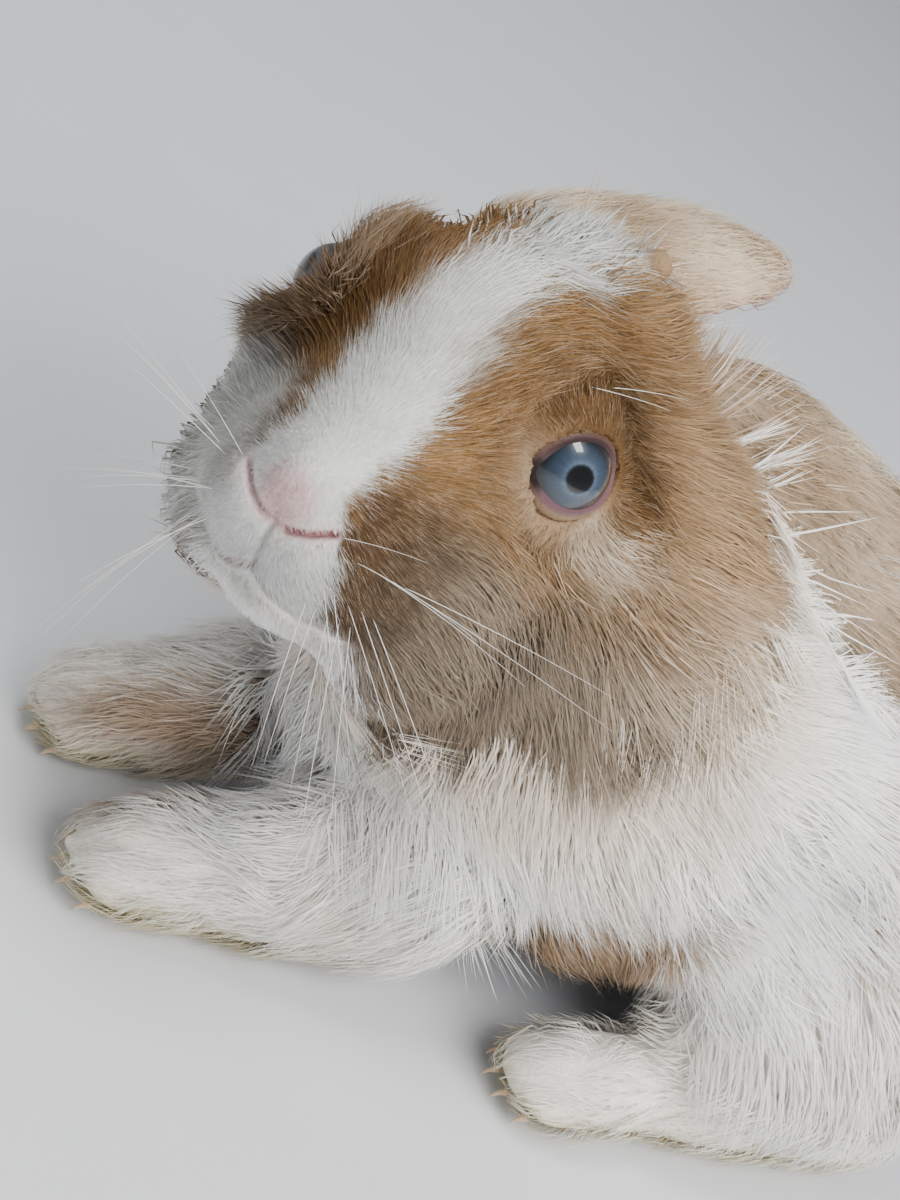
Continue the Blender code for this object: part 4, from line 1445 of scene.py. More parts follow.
        # Roots darker than the hair, most in dark coat: partly the undercoat's own tone, partly painted
        # shade deep in the coat.
        deep = colour * (0.42 + 0.52 * pale)
        stations = np.linspace(0.0, 1.0, self.rings + 1)[:-1] * self.tip_share
        for ring, (share, full) in enumerate(zip(stations, self.ring_slim)):
            middle = (1 - share) ** 2 * start + 2 * share * (1 - share) * bend + share**2 * tip
            way = unit((1 - share) * (bend - start) + share * (tip - bend))
            side = unit(np.cross(way, hairs.facing))
            up = np.cross(side, way)
            for turn in range(3):
                angle = 2.0 * math.pi * turn / 3.0 + 0.5 * math.pi
                offset = side * math.cos(angle) + up * (self.flatness * math.sin(angle))
                spot = np.array((math.cos(angle), math.sin(angle) - 0.4 + ring * 0.8))
                at = 3 * ring + turn
                places[:, at] = middle + offset * (0.5 * size * full)[:, None]
                radial[:, at] = unit(offset)
                # Each ring runs from the darker root (partly painted shade) to the hair's colour.
                tints[:, at] = (deep * (1 - share) + colour * share) * strand
                spots[:, at] = flat + self.patch_size * spot
        places[:, -1] = tip
        places[:, :, 2] = np.maximum(places[:, :, 2], FLOOR_CLEAR)
        radial[:, -1] = unit(tip - bend)
        lit = draw.random((count, 1)) < self.light_share
        light = lit * draw.uniform(0.15, 0.5, (count, 1)) * (1.0 - pale)
        ends = colour * (1.0 - light) + light_tip * light
        tints[:, -1] = np.minimum(ends * 1.1, 0.95) * strand
        tints[:, -4:-1] = tints[:, -4:-1] * (1.0 - 0.5 * light[:, :, None]) + 0.5 * (ends * light)[:, None]
        spots[:, -1] = flat + self.patch_size * np.array((0.0, 1.4))

        shape = self.faces()
        corners = (np.arange(count)[:, None, None] * each + shape[None]).reshape(-1, 3)
        piece = mesh_object(self.name, places.reshape(-1, 3) * MM, corners)
        smooth = unit(hairs.facing + 0.25 * hairs.lie)
        under = np.isin(shape % 3, (1, 2)) | (shape == each - 1)
        sign = np.where(under.all(axis=1), -1.0, 1.0)
        shading = smooth[:, None, None] * sign[None, :, None, None] * self.soft
        shading = shading + radial[:, shape] * (1.0 - self.soft)
        piece.data.normals_split_custom_set(unit(shading.reshape(-1, 3)))
        paint(piece.data, tints.reshape(-1, 3))
        layer = piece.data.uv_layers.new(name=TUFT_UNWRAP)
        layer.data.foreach_set("uv", spots.reshape(-1, 2)[corners.ravel()].astype(np.float32).ravel())
        return piece


@dataclass
class Coat:
    """All the pieces of the coat."""

    body: Body
    skin: bpy.types.Object
    lids: list[bpy.types.Object]
    off_rim: float = 0.7

    def build(self, material: bpy.types.Material) -> list[bpy.types.Object]:
        """Grows every piece.

        Args:
            material: The coat's material.

        Returns:
            The pieces.
        """
        surface = Surface.of(self.skin)
        middles = surface.points[surface.triangles].mean(axis=1)
        labels = self.body.label(middles)
        head = self.body.head.inside(middles)
        on_head = Zone.HEAD.holds(labels)
        face = ramp(head[:, 0], 18.0, 26.0)
        left = ramp(head[:, 1], -1.0, 1.0)
        muzzle = self.body.muzzle
        slit = np.min([muzzle.off_line(head, line) for line in (muzzle.slit, muzzle.lips)], axis=0)
        bare = ramp(slit, 0.5, 1.3)
        hidden = np.where(self.body.off_eye(middles) < self.body.eye.radius + 0.4, 0.0, 1.0)
        ahead = ramp(middles[:, 1], 0.0, -14.0)
        sides = ramp(middles[:, 0], -1.0, 1.0)
        torso = Zone.TORSO.holds(labels)
        whole = np.ones(len(labels))
        on_face = on_head * face * bare
        on_left = on_head * (1 - face) * left * hidden
        plans = [
            (Tufts("coat_face", 11000, 101, width=0.30, clump=0.2, jitter=0.12), on_face),
            (Tufts("coat_face_under", 35000, 112, 1, width=0.24, clump=0.1, jitter=0.14), on_face),
            (Tufts("coat_head_left", 19500, 102, width=0.30), on_left),
            (Tufts("coat_head_left_under", 35000, 103, 1, width=0.26), on_left),
            (Tufts("coat_head_right", 12500, 104, width=0.42), on_head * (1 - face) * (1 - left) * hidden),
            (Tufts("coat_neck", 12500, 105, width=0.32), Zone.NECK.holds(labels) * whole),
            (Tufts("coat_torso_left", 19500, 106, width=0.34), torso * sides * (1 + 1.5 * ahead)),
            (Tufts("coat_torso_left_under", 22000, 113, 1, width=0.32), torso * sides * (1 + 1.5 * ahead)),
            (Tufts("coat_torso_right", 10000, 107, width=0.6), torso * (1 - sides)),
            (Tufts("coat_hindlegs", 8500, 108, width=0.42), Zone.HINDLEG.holds(labels) * whole),
            (Tufts("coat_forelegs", 9500, 109, width=0.32), Zone.FORELEG.holds(labels) * whole),
            (Tufts("coat_ears", 7000, 110, width=0.45, clump=0.2), Zone.EAR.holds(labels) * whole),
            (Tufts("coat_tail", 1400, 111, width=0.65), Zone.TAIL.holds(labels) * whole),
        ]
        floor = BVHTree.FromPolygons(surface.points.tolist(), surface.triangles.tolist())
        cover = self.ears()
        pieces = []
        for tufts, density in plans:
            piece = tufts.grow(surface, density, self.body, floor, cover, material)
            LOG.info("%s: %d triangles", piece.name, len(piece.data.polygons))
            pieces.append(piece)
        shape = self.body.eye
        for number, (side, lid) in enumerate(zip(Side, self.lids)):
            edge = Surface.of(lid, surface)
            away = edge.points[edge.triangles].mean(axis=1) - self.body.eye_centres[number]
            beyond = shape.beyond(away @ shape.frame(self.body.head, side), self.off_rim)
            name = "coat_lid_" + side.name.lower()
            tufts = Tufts(name, 5000, 120 + number, 1, width=0.22, clump=0.1, jitter=0.1)
            pieces.append(tufts.grow(edge, ramp(beyond, 1.0, 1.1), self.body, floor, cover, material))
        return pieces

    def ears(self) -> BVHTree:
        """The solids of both ears, for looking up.

        Returns:
            Their surfaces, in model millimetres.
        """
        points: list[list[float]] = []
        faces: list[list[int]] = []
        for name in ("ear_left", "ear_right"):
            mesh = bpy.data.objects[name].data
            corners = triangles_of(mesh)[0] + len(points)
            points += (points_of(mesh) / MM).tolist()
            faces += corners.tolist()
        return BVHTree.FromPolygons(points, faces)


@dataclass
class Eye:
    """An eyeball with its clear bulge, and the lids round it."""

    body: Body
    side: Side
    bulge: float = 0.55
    turns: int = 96
    seat: float = 0.1
    rim: tuple[tuple[float, float, float], ...] = (
        (-0.5, -0.5, 0.0), (0.0, 0.15, 0.0), (0.2, 0.45, 0.0), (0.55, 0.6, 0.0), (1.1, 0.7, 0.0),
        (2.4, 0.6, 0.25), (3.8, 0.3, 0.6), (5.4, 0.0, 0.9), (7.0, 0.0, 1.0), (8.6, 0.0, 1.0),
    )

    def place(self) -> tuple[np.ndarray, np.ndarray]:
        """The eye's middle and its axes, in the model's frame."""
        return self.body.eye.centre(self.side), self.body.eye.frame(self.body.head, self.side)

    def ball(self, material: bpy.types.Material) -> bpy.types.Object:
        """Makes the eyeball, with its pole at the pupil.

        Args:
            material: The eye's material.

        Returns:
            The eyeball.
        """
        shape = self.body.eye
        centre, frame = self.place()
        bpy.ops.mesh.primitive_uv_sphere_add(segments=72, ring_count=56, radius=shape.radius * MM)
        ball = bpy.context.object
        ball.name = ball.data.name = "eyeball_" + self.side.name.lower()
        points = points_of(ball.data) / MM
        off_axis = np.hypot(points[:, 0], points[:, 1]) / shape.radius
        lift = np.where(points[:, 2] > 0.0, self.bulge * np.exp(-(off_axis / 0.6) ** 4), 0.0)
        points = unit(points) * (shape.radius + lift)[:, None]
        if np.linalg.det(frame) < 0.0:
            points[:, 0] = -points[:, 0]
        put_points(ball.data, (centre + points @ frame.T) * MM)
        select_only(ball)
        bpy.ops.object.mode_set(mode="EDIT")
        bpy.ops.mesh.select_all(action="SELECT")
        bpy.ops.mesh.normals_make_consistent(inside=False)
        bpy.ops.object.mode_set(mode="OBJECT")
        ball.location = (0.0, 0.0, 0.0)
        ball.data.shade_smooth()
        ball.data.materials.append(material)
        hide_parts("eye_" + self.side.name.lower())
        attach(ball, "root")
        return ball

    def lids(self, skin: BVHTree, material: bpy.types.Material) -> bpy.types.Object:
        """The lids: a rim on the eyeball that runs out into the skin.

        Args:
            skin: The skin, in model millimetres.
            material: The lids' material.

        Returns:
            The lids, painted.
        """
        shape = self.body.eye
        centre, frame = self.place()
        turns = self.turns
        seat = shape.radius + self.seat
        angle = np.arange(turns) * 2.0 * math.pi / turns
        along, across = shape.opening(angle)
        out_along, out_across = np.cos(angle), np.sin(angle)
        rings = []
        for out, lift, hold in self.rim:
            aside, above = along + out_along * out, across + out_across * out
            height = np.sqrt(np.maximum(seat**2 - aside**2 - above**2, 0.0))
            local = np.stack([aside, above, height], axis=1)
            local = local + unit(local) * lift
            ring = centre + local @ frame.T
            if hold > 0.0:
                for number, place in enumerate(ring):
                    spot, way, _, _ = skin.find_nearest(Vector(place))
                    ring[number] = place + (np.array(spot) - np.array(way) * 0.35 - place) * hold
                for _ in range(6):
                    ring = ring * 0.5 + 0.25 * (np.roll(ring, 1, axis=0) + np.roll(ring, -1, axis=0))
            rings.append(ring)
        points = np.concatenate(rings)
        faces = []
        for ring in range(len(rings) - 1):
            for turn in range(turns):
                here, after = ring * turns + turn, ring * turns + (turn + 1) % turns
                faces.append((here, after, after + turns, here + turns))
        corners = np.array(faces)
        if np.linalg.det(frame) > 0.0:
            corners = corners[:, ::-1]
        lids = mesh_object("lids_" + self.side.name.lower(), points * MM, corners)
        edge, shade = linear(self.body.palette.lid_edge), linear(self.body.palette.lid_shade)
        # The lids' skin takes the coat's colours darkened by a fifth, as painted shade between the tufts on
        # them.
        tints = self.body.colour(points, unit(points - centre), np.zeros(len(points), int)) * 0.8
        for ring, (out, _, _) in enumerate(self.rim):
            rows = slice(ring * turns, (ring + 1) * turns)
            share = float(np.clip((out - 0.4) / 0.7, 0.0, 1.0))
            upper = np.clip(out_across + 0.1, 0.0, 1.0) * (0.85 if out < 0.5 else 0.5)
            upper = np.maximum(upper, ramp(-out_along, 0.75, 0.95))[:, None]
            bare = edge * (1.0 - upper) + shade * upper
            tints[rows] = bare * (1.0 - share) + tints[rows] * share
        paint(lids.data, tints)
        lids.data.materials.append(material)
        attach(lids, "root")
        return lids


@dataclass
class Whiskers:
    """The long stiff hairs of the lips and brows."""

    body: Body
    rows: int = 3
    in_row: int = 5
    longest: float = 46.0
    radius: float = 0.06
    sides: int = 4
    stations: int = 9
    seed: int = 77
    brow_share: float = 0.36
    buried: float = 0.8
    tip_radius: float = 0.012

    def roots(self, side: Side) -> list[tuple[np.ndarray, np.ndarray, float]]:
        """Where the whiskers start, which way they leave, and how long they are.

        Args:
            side: The side of the face.

        Returns:
            A root and a way in head millimetres, and a length, for each.
        """
        found = []
        for row in range(self.rows):
            for number in range(self.in_row):
                back = number / (self.in_row - 1)
                down = row / (self.rows - 1)
                root = (39.0 - 8.0 * back, side.value * (10.0 + 4.5 * back), -18.0 - 8.0 * down)
                way = (0.3 - 0.6 * back, side.value * (0.95 - 0.6 * down), 0.2 - 1.1 * down)
                found.append((np.array(root), unit(np.array(way)), self.longest * (0.55 + 0.45 * back)))
        for number in range(2):
            root = (17.0 - 5.0 * number, side.value * 20.0, 22.0)
            way = (-0.5 - 0.3 * number, side.value * 1.0, 0.3)
            found.append((np.array(root), unit(np.array(way)), self.longest * self.brow_share))
        return found

    def hair(self, start: np.ndarray, out: np.ndarray, course: np.ndarray, droop: np.ndarray) -> np.ndarray:
        """The rings of points of one whisker.

        Args:
            start: Where it leaves the skin.
            out: The way the skin faces there.
            course: The way it leaves, as long as the whisker.
            droop: How far its tip hangs off that way.

        Returns:
            Model millimetres, one a row, ring after ring.
        """
        side = unit(np.cross(course, out))
        up = np.cross(side, unit(course))
        found = []
        for share in np.linspace(0.0, 1.0, self.stations):
            middle = start - out * self.buried + course * share + droop * share**2
            thick = self.radius * (1.0 - share) ** 0.7 + self.tip_radius
            for turn in range(self.sides):
                angle = 2.0 * math.pi * turn / self.sides
                found.append(middle + (side * math.cos(angle) + up * math.sin(angle)) * thick)
        return np.array(found)

    def faces(self) -> np.ndarray:
        """The faces of one whisker: its bands and both ends.

        Returns:
            Corner numbers, one face a row.
        """
        sides = self.sides
        found = []
        for station in range(self.stations - 1):
            for turn in range(sides):
                here, after = station * sides + turn, station * sides + (turn + 1) % sides
                found.append((here, here + sides, after + sides, after))
        end = (self.stations - 1) * sides
        found.append(tuple(range(sides)))
        found.append(tuple(end + turn for turn in reversed(range(sides))))
        return np.array(found)

    def build(
        self, skin: BVHTree, limits: tuple[np.ndarray, np.ndarray], material: bpy.types.Material,
    ) -> bpy.types.Object:
        """Makes all the whiskers as one mesh.

        Args:
            skin: The skin, in model millimetres.
            limits: The lowest and highest corners that they stay between.
            material: Their material.

        Returns:
            The whiskers.
        """
        draw = np.random.default_rng(self.seed)
        low, high = limits
        hairs = []
        axes = self.body.head.axes()
        for side in Side:
            for root, way, length in self.roots(side):
                spot, out, _, _ = skin.find_nearest(Vector(self.body.head.world(root)))
                spot, out = np.array(spot), np.array(out)
                course = unit(axes @ (way + draw.normal(0.0, 0.10, 3)) + out * 0.25)
                length *= draw.uniform(0.8, 1.1)
                droop = unit(axes @ np.array((-0.7, 0.0, -0.5))) * draw.uniform(0.10, 0.30)
                tip = spot + (course + droop) * length
                while (tip <= low).any() or (tip >= high).any():
                    length *= 0.92
                    tip = spot + (course + droop) * length
                hairs.append(self.hair(spot, out, course * length, droop * length))
        each = self.stations * self.sides
        faces = np.concatenate([self.faces() + number * each for number in range(len(hairs))])
        whiskers = mesh_object("whiskers", np.concatenate(hairs) * MM, faces)
        whiskers.data.materials.append(material)
        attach(whiskers, "root")
        return whiskers


@dataclass
class Claws:
    """The claws, whose tips show between the tufts of the toes."""

    toes: int = 4
    spread: float = 5.6
    length: float = 3.6
    radius: float = 0.75
    curl: float = 70.0
    vertices: int = 12
    tip_radius: float = 0.12
    fore_middle: float = 20.0
    hind_middle: float = 50.5
    from_front: float = 6.2
    arc: float = 1.4
    height: float = 3.4

    def build(self, material: bpy.types.Material) -> bpy.types.Object:
        """Makes every claw by bending a cone, and joins them.

        Args:
            material: The horn's material.

        Returns:
            The claws.
        """
        claws = []
        for name in ("foreleg_left", "foreleg_right", "hindleg_left", "hindleg_right"):
            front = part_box(name)[0][1] / MM
            side = Side.LEFT if name.endswith("left") else Side.RIGHT
            middle = side.value * (self.fore_middle if name.startswith("foreleg") else self.hind_middle)
            for toe in range(self.toes):
                off = toe - (self.toes - 1) / 2.0
                back = self.from_front + self.arc * off * off
                claws.append(self.one(np.array((middle + off * self.spread, front + back, self.height))))
        select_only(*claws)
        bpy.ops.object.join()
        joined = bpy.context.view_layer.objects.active
        joined.name = joined.data.name = "claws"
        joined.data.shade_smooth()
        joined.data.materials.append(material)
        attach(joined, "root")
        return joined

    def one(self, start: np.ndarray) -> bpy.types.Object:
        """Makes one claw, which leaves a toe forwards and curves to the floor.

        Args:
            start: Where it starts, in model millimetres.

        Returns:
            The claw.
        """
        bpy.ops.mesh.primitive_cone_add(
            vertices=self.vertices, radius1=self.radius * MM, radius2=self.tip_radius * MM,
            depth=self.length * MM,
        )
        claw = bpy.context.object
        bpy.ops.object.mode_set(mode="EDIT")
        bpy.ops.mesh.select_all(action="SELECT")
        bpy.ops.mesh.subdivide(number_cuts=5)
        bpy.ops.object.mode_set(mode="OBJECT")
        points = points_of(claw.data) / MM
        along = points[:, 2] / self.length + 0.5
        angle = math.radians(self.curl) * along
        bend = self.length / math.radians(self.curl)
        places = np.stack([
            points[:, 0],
            -(np.sin(angle) * (bend + points[:, 1])),
            np.cos(angle) * (bend + points[:, 1]) - bend,
        ], axis=1) + start
        places[:, 2] = np.maximum(places[:, 2], FLOOR_CLEAR)
        put_points(claw.data, places * MM)
        claw.location = (0.0, 0.0, 0.0)
        return claw


def shader_of(material: bpy.types.Material) -> tuple[bpy.types.NodeTree, bpy.types.Node]:
    """Gives a material its nodes.

    Args:
        material: A new material.

    Returns:
        Its node tree and its principled shader.
    """
    material.use_nodes = True
    tree = material.node_tree
    shader = next(node for node in tree.nodes if node.type == "BSDF_PRINCIPLED")
    return tree, shader


def maths(tree: bpy.types.NodeTree, operation: str, vector: bool = False) -> bpy.types.Node:
    """Adds a maths node.

    Args:
        tree: The node tree.
        operation: What it works out.
        vector: Whether it works on vectors.

    Returns:
        The node.
    """
    made = tree.nodes.new("ShaderNodeVectorMath" if vector else "ShaderNodeMath")
    made.operation = operation
    return made


def hair_grain() -> bpy.types.ShaderNodeTree:
    """The node group that varies a colour from hair to hair.

    Returns:
        The group, which puts out the colour and the hairs' height.
    """
    name = "hair grain"
    if name in bpy.data.node_groups:
        return bpy.data.node_groups[name]
    group = bpy.data.node_groups.new(name, "ShaderNodeTree")
    sockets = (
        ("Colour", "INPUT", "NodeSocketColor"),
        ("Scale", "INPUT", "NodeSocketFloat"),
        ("Amount", "INPUT", "NodeSocketFloat"),
        ("Colour", "OUTPUT", "NodeSocketColor"),
        ("Height", "OUTPUT", "NodeSocketFloat"),
    )
    for socket, way, kind in sockets:
        group.interface.new_socket(name=socket, in_out=way, socket_type=kind)
    start, end = group.nodes.new("NodeGroupInput"), group.nodes.new("NodeGroupOutput")
    place = group.nodes.new("ShaderNodeTexCoord")
    noise = group.nodes.new("ShaderNodeTexNoise")
    noise.inputs["Detail"].default_value = 1.0
    centred = maths(group, "SUBTRACT")
    centred.inputs[1].default_value = 0.5
    scaled = maths(group, "MULTIPLY_ADD")
    scaled.inputs[2].default_value = 1.0
    shade = maths(group, "SCALE", vector=True)
    link = group.links.new
    link(place.outputs["Object"], noise.inputs["Vector"])
    link(start.outputs["Scale"], noise.inputs["Scale"])
    link(noise.outputs["Fac"], centred.inputs[0])
    link(centred.outputs[0], scaled.inputs[0])
    link(start.outputs["Amount"], scaled.inputs[1])
    link(start.outputs["Colour"], shade.inputs[0])
    link(scaled.outputs[0], shade.inputs["Scale"])
    link(shade.outputs["Vector"], end.inputs["Colour"])
    link(noise.outputs["Fac"], end.inputs["Height"])
    return group


@dataclass(frozen=True)
class PaintedFinish:
    """A finish whose colour is stored in the mesh: hair, skin or lids."""

    name: str
    roughness: float
    grain_scale: float
    grain: float
    bump: float
    gloss_coat: float = 0.0
    specular: float = 0.3

    def material(self) -> bpy.types.Material:
        """Makes the material of this finish.

        Returns:
            The material.
        """
        made = bpy.data.materials.new(self.name)
        tree, shader = shader_of(made)
        stored = tree.nodes.new("ShaderNodeVertexColor")
        stored.layer_name = COAT_ATTRIBUTE
        grain = tree.nodes.new("ShaderNodeGroup")
        grain.node_tree = hair_grain()
        grain.inputs["Scale"].default_value = self.grain_scale
        grain.inputs["Amount"].default_value = self.grain
        tree.links.new(stored.outputs["Color"], grain.inputs["Colour"])
        tree.links.new(grain.outputs["Colour"], shader.inputs["Base Color"])
        if self.bump > 0.0:
            bump = tree.nodes.new("ShaderNodeBump")
            bump.inputs["Strength"].default_value = self.bump
            bump.inputs["Distance"].default_value = 0.0003
            tree.links.new(grain.outputs["Height"], bump.inputs["Height"])
            tree.links.new(bump.outputs["Normal"], shader.inputs["Normal"])
        shader.inputs["Roughness"].default_value = self.roughness
        shader.inputs["Specular IOR Level"].default_value = self.specular
        shader.inputs["Coat Weight"].default_value = self.gloss_coat
        shader.inputs["Coat Roughness"].default_value = 0.15
        return made


@dataclass(frozen=True)
class PlainFinish:
    """A finish of one colour with a fine grain: whiskers, horn or the floor."""

    name: str
    colour: tuple[int, int, int]
    roughness: float
    grain_scale: float
    grain: float
    specular: float = 0.4

    def material(self) -> bpy.types.Material:
        """Makes the material of this finish.

        Returns:
            The material.
        """
        made = bpy.data.materials.new(self.name)
        tree, shader = shader_of(made)
        grain = tree.nodes.new("ShaderNodeGroup")
        grain.node_tree = hair_grain()
        grain.inputs["Colour"].default_value = (*linear(self.colour), 1.0)
        grain.inputs["Scale"].default_value = self.grain_scale
        grain.inputs["Amount"].default_value = self.grain
        tree.links.new(grain.outputs["Colour"], shader.inputs["Base Color"])
        shader.inputs["Roughness"].default_value = self.roughness
        shader.inputs["Specular IOR Level"].default_value = self.specular
        return made


@dataclass(frozen=True)
class EyeFinish:
    """The wet eye: pupil, ringed iris with fine fibres, and the dark round it."""

    side: Side
    gaze: float = 9.0
    stops: tuple[tuple[float, tuple[int, int, int]], ...] = (
        (0.000, (1, 1, 2)), (0.335, (2, 2, 3)), (0.37, (24, 30, 38)), (0.43, (76, 91, 108)),
        (0.56, (54, 68, 86)), (0.78, (38, 50, 65)), (0.89, (15, 21, 29)), (0.95, (5, 6, 8)),
        (1.0, (6, 5, 4)),
    )
    past_iris: float = 0.4
    fibre_spokes: float = 9.0
    fibre_scale: float = 1.6
    fibre_along: float = 0.28
    wobble: float = 0.05
    fibre_light: float = 0.95
    least_light: float = 0.32

    def material(self, body: Body) -> bpy.types.Material:
        """The material of one eye.

        Args:
            body: Gives the eye's place and sizes.

        Returns:
            A material that reads object coordinates turned to the eye's axes.
        """
        made = bpy.data.materials.new("wet eye " + self.side.name.lower())
        tree, shader = shader_of(made)
        link = tree.links.new
        centre, frame = body.eye.centre(self.side), body.eye.frame(body.head, self.side)
        if np.linalg.det(frame) < 0.0:
            frame = frame * np.array((-1.0, 1.0, 1.0))
        frame = frame @ np.array(Matrix.Rotation(-math.radians(self.gaze) * self.side.value, 3, "Y"))
        place = tree.nodes.new("ShaderNodeTexCoord")
        turned = tree.nodes.new("ShaderNodeMapping")
        turned.vector_type = "TEXTURE"
        turned.inputs["Location"].default_value = centre * MM
        turned.inputs["Rotation"].default_value = Matrix(frame).to_euler()
        turned.inputs["Scale"].default_value = (MM, MM, MM)
        flat = maths(tree, "MULTIPLY", vector=True)
        flat.inputs[1].default_value = (1.0, 1.0, 0.0)
        reach = maths(tree, "LENGTH", vector=True)
        share = maths(tree, "DIVIDE")
        share.inputs[1].default_value = body.eye.iris_radius + self.past_iris
        spoke = maths(tree, "NORMALIZE", vector=True)
        spread = maths(tree, "MULTIPLY_ADD", vector=True)
        spread.inputs[1].default_value = (self.fibre_spokes,) * 3
        fibres = tree.nodes.new("ShaderNodeTexNoise")
        fibres.inputs["Scale"].default_value = self.fibre_scale
        fibres.inputs["Detail"].default_value = 4.0
        slow = maths(tree, "SCALE", vector=True)
        slow.inputs["Scale"].default_value = self.fibre_along
        wobble = maths(tree, "MULTIPLY_ADD")
        wobble.inputs[1].default_value = self.wobble
        ramp_node = tree.nodes.new("ShaderNodeValToRGB")
        elements = ramp_node.color_ramp.elements
        elements.remove(elements[1])
        elements[0].color = (*linear(self.stops[0][1]), 1.0)
        for at, colour in self.stops[1:]:
            elements.new(at).color = (*linear(colour), 1.0)
        light = maths(tree, "MULTIPLY_ADD")
        light.inputs[1].default_value = self.fibre_light
        light.inputs[2].default_value = self.least_light
        mixed = maths(tree, "SCALE", vector=True)
        link(place.outputs["Object"], turned.inputs["Vector"])
        link(turned.outputs["Vector"], flat.inputs[0])
        link(flat.outputs["Vector"], reach.inputs[0])
        link(reach.outputs["Value"], share.inputs[0])
        link(flat.outputs["Vector"], spoke.inputs[0])
        link(flat.outputs["Vector"], slow.inputs[0])
        link(spoke.outputs["Vector"], spread.inputs[0])
        link(slow.outputs["Vector"], spread.inputs[2])
        link(spread.outputs["Vector"], fibres.inputs["Vector"])
        link(fibres.outputs["Fac"], wobble.inputs[0])
        link(share.outputs[0], wobble.inputs[2])
        link(wobble.outputs[0], ramp_node.inputs["Fac"])
        link(fibres.outputs["Fac"], light.inputs[0])
        link(ramp_node.outputs["Color"], mixed.inputs[0])
        link(light.outputs[0], mixed.inputs["Scale"])
        link(mixed.outputs["Vector"], shader.inputs["Base Color"])
        shader.inputs["Roughness"].default_value = 0.35
        shader.inputs["Coat Weight"].default_value = 1.0
        shader.inputs["Coat Roughness"].default_value = 0.02
        shader.inputs["Coat IOR"].default_value = 1.45
        return made


@dataclass(frozen=True)
class Viewpoint:
    """The camera, placed by the head: the photo's framing, turned about the line of sight."""

    azimuth: float = 18.0
    elevation: float = 14.0
    roll: float = 35.2
    distance: float = 390.0
    field_of_view: float = 27.0
    aim_point: tuple[float, float, float] = (47.0, 0.0, -12.0)
    aim_pixel: tuple[float, float] = (292.0, 479.0)
    frame_pixels: tuple[int, int] = (900, 1200)
    sensor: float = 36.0

    def axes(self, head: HeadFrame) -> np.ndarray:
        """The picture's own axes.

        Args:
            head: The head that the camera looks at.

        Returns:
            Columns to the right of the picture, up it, and back to the camera.
        """
        turn, tip, roll = (math.radians(angle) for angle in (self.azimuth, self.elevation, self.roll))
        level_back = math.cos(tip)
        back = np.array((level_back * math.cos(turn), level_back * math.sin(turn), math.sin(tip)))
        level = np.array((-math.sin(turn), math.cos(turn), 0.0))
        up = np.cross(back, level)
        right = level * math.cos(roll) + up * math.sin(roll)
        above = -level * math.sin(roll) + up * math.cos(roll)
        return head.axes() @ np.stack([right, above, back], axis=1)

    def place(self, head: HeadFrame) -> bpy.types.Object:
        """Makes the scene's camera.

        Args:
            head: The head that it looks at.

        Returns:
            The camera.
        """
        axes = self.axes(head)
        width, height = self.frame_pixels
        focal = 0.5 * height / math.tan(math.radians(self.field_of_view / 2.0))
        shift_right = (self.aim_pixel[0] - width / 2.0) / focal * self.distance
        shift_up = -(self.aim_pixel[1] - height / 2.0) / focal * self.distance
        where = head.world(self.aim_point) + axes @ np.array((-shift_right, -shift_up, self.distance))
        data = bpy.data.cameras.new("camera")
        data.sensor_width = self.sensor
        data.lens = 0.5 * self.sensor / math.tan(math.radians(self.field_of_view / 2.0))
        data.clip_start = 0.01
        camera = bpy.data.objects.new("camera", data)
        bpy.context.scene.collection.objects.link(camera)
        camera.matrix_world = Matrix.Translation(Vector(where * MM)) @ Matrix(axes).to_4x4()
        bpy.context.scene.camera = camera
        return camera


@dataclass(frozen=True)
class Lamp:
    """A soft light, placed by the picture's own axes round the head."""

    name: str
    right: float
    above: float
    back: float
    size: tuple[float, float]
    energy: float
    tint: tuple[float, float, float] = (1.0, 1.0, 1.0)
    shows: bool = False

    def place(self, head: HeadFrame, view: Viewpoint) -> None:
        """Makes the light, turned to the head.

        Args:
            head: The head.
            view: Gives the picture's axes.
        """
        axes = view.axes(head)
        target = head.world((10.0, 0.0, 0.0)) * MM
        where = target + axes @ np.array((self.right, self.above, self.back))
        data = bpy.data.lights.new(self.name, "AREA")
        data.shape = "RECTANGLE"
        data.size, data.size_y = self.size
        data.energy = self.energy
        data.color = self.tint
        lamp = bpy.data.objects.new(self.name, data)
        lamp.visible_glossy = self.shows
        bpy.context.scene.collection.objects.link(lamp)
        turned = Vector(target - where).to_track_quat("-Z", "Y").to_matrix().to_4x4()
        lamp.matrix_world = Matrix.Translation(Vector(where)) @ turned


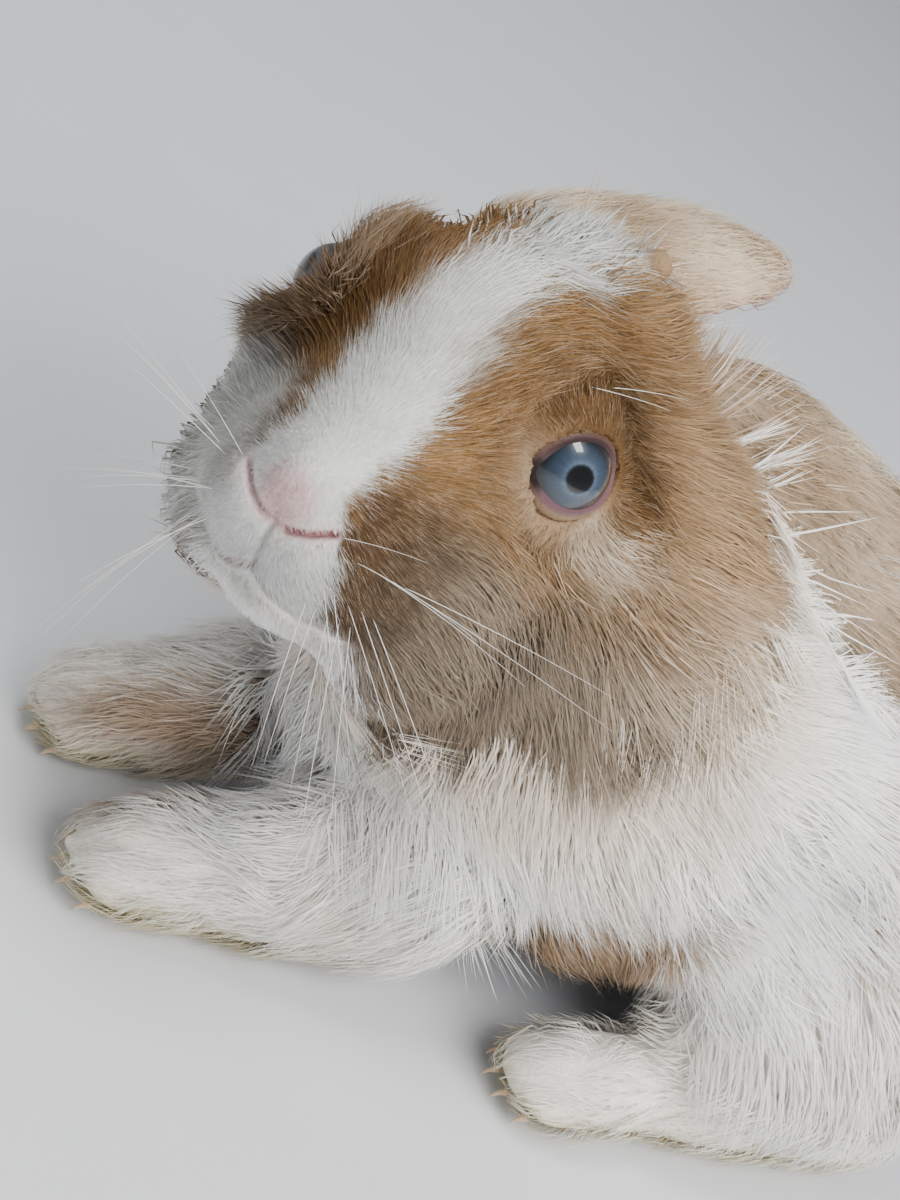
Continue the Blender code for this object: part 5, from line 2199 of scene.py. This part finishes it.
@dataclass
class Studio:
    """The floor, the lights and the camera."""

    head: HeadFrame
    view: Viewpoint
    floor_half: float = 30.0
    world_colour: tuple[float, float, float] = (0.86, 0.90, 0.96)
    world_strength: float = 0.30
    lamps: tuple[Lamp, ...] = (
        Lamp("window", 0.40, 0.62, 0.42, (0.30, 0.26), 4.6, (1.0, 0.99, 0.97), True),
        Lamp("front", 0.66, -0.14, 0.70, (1.0, 0.7), 20.0, (1.0, 0.99, 0.98)),
        Lamp("left", -0.95, 0.20, 0.45, (1.0, 1.0), 2.5, (0.95, 0.97, 1.0)),
        Lamp("crown", -0.10, 0.95, -0.60, (1.3, 1.3), 5.5),
    )

    def build(self, floor_finish: PlainFinish) -> None:
        """Sets up the floor, the world, the lamps and the camera.

        Args:
            floor_finish: The floor's finish.
        """
        bpy.ops.mesh.primitive_plane_add(size=2.0 * self.floor_half)
        floor = bpy.context.object
        floor.name = floor.data.name = "floor"
        floor.data.materials.append(floor_finish.material())
        floor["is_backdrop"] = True
        world = bpy.data.worlds.new("studio")
        bpy.context.scene.world = world
        world.use_nodes = True
        sky = world.node_tree.nodes["Background"]
        sky.inputs["Color"].default_value = (*self.world_colour, 1.0)
        sky.inputs["Strength"].default_value = self.world_strength
        for lamp in self.lamps:
            lamp.place(self.head, self.view)
        self.view.place(self.head)


def main() -> None:
    """Builds every piece in order."""
    logging.basicConfig(level=logging.INFO, format="%(message)s")
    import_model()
    solid_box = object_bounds()
    head = HeadFrame()
    body = Body(head, EyeShape(), Muzzle(), Palette(), CoatSizes())

    hair = PaintedFinish("coat hair", 0.7, 900.0, 0.35, 0.0, specular=0.0).material()
    skin_finish = PaintedFinish("skin under the coat", 0.7, 1400.0, 0.4, 0.6, specular=0.08).material()
    lid_finish = PaintedFinish("moist lids", 0.5, 1600.0, 0.25, 0.5, gloss_coat=0.06).material()

    skin = Skin(body).build()
    skin.data.materials.append(skin_finish)
    LOG.info("skin: %d faces", len(skin.data.polygons))
    triangles = triangles_of(skin.data)[0]
    tree = BVHTree.FromPolygons((points_of(skin.data) / MM).tolist(), triangles.tolist())

    lids = []
    for side in Side:
        eye = Eye(body, side)
        eye.ball(EyeFinish(side).material(body))
        lids.append(eye.lids(tree, lid_finish))
    LOG.info("eyes and lids made")

    Coat(body, skin, lids).build(hair)

    low, high = (np.array(corner) / MM for corner in solid_box)
    margin = 0.03 * (high - low) + 9.0
    whisker_finish = PlainFinish("whisker", (240, 236, 230), 0.4, 300.0, 0.2)
    Whiskers(body).build(tree, (low - margin, high + margin), whisker_finish.material())
    Claws().build(PlainFinish("horn", (196, 168, 140), 0.35, 700.0, 0.3).material())
    LOG.info("whiskers and claws made")

    Studio(head, Viewpoint()).build(PlainFinish("pale floor", (214, 216, 220), 0.7, 40.0, 0.04))


if __name__ == "__main__":
    main()
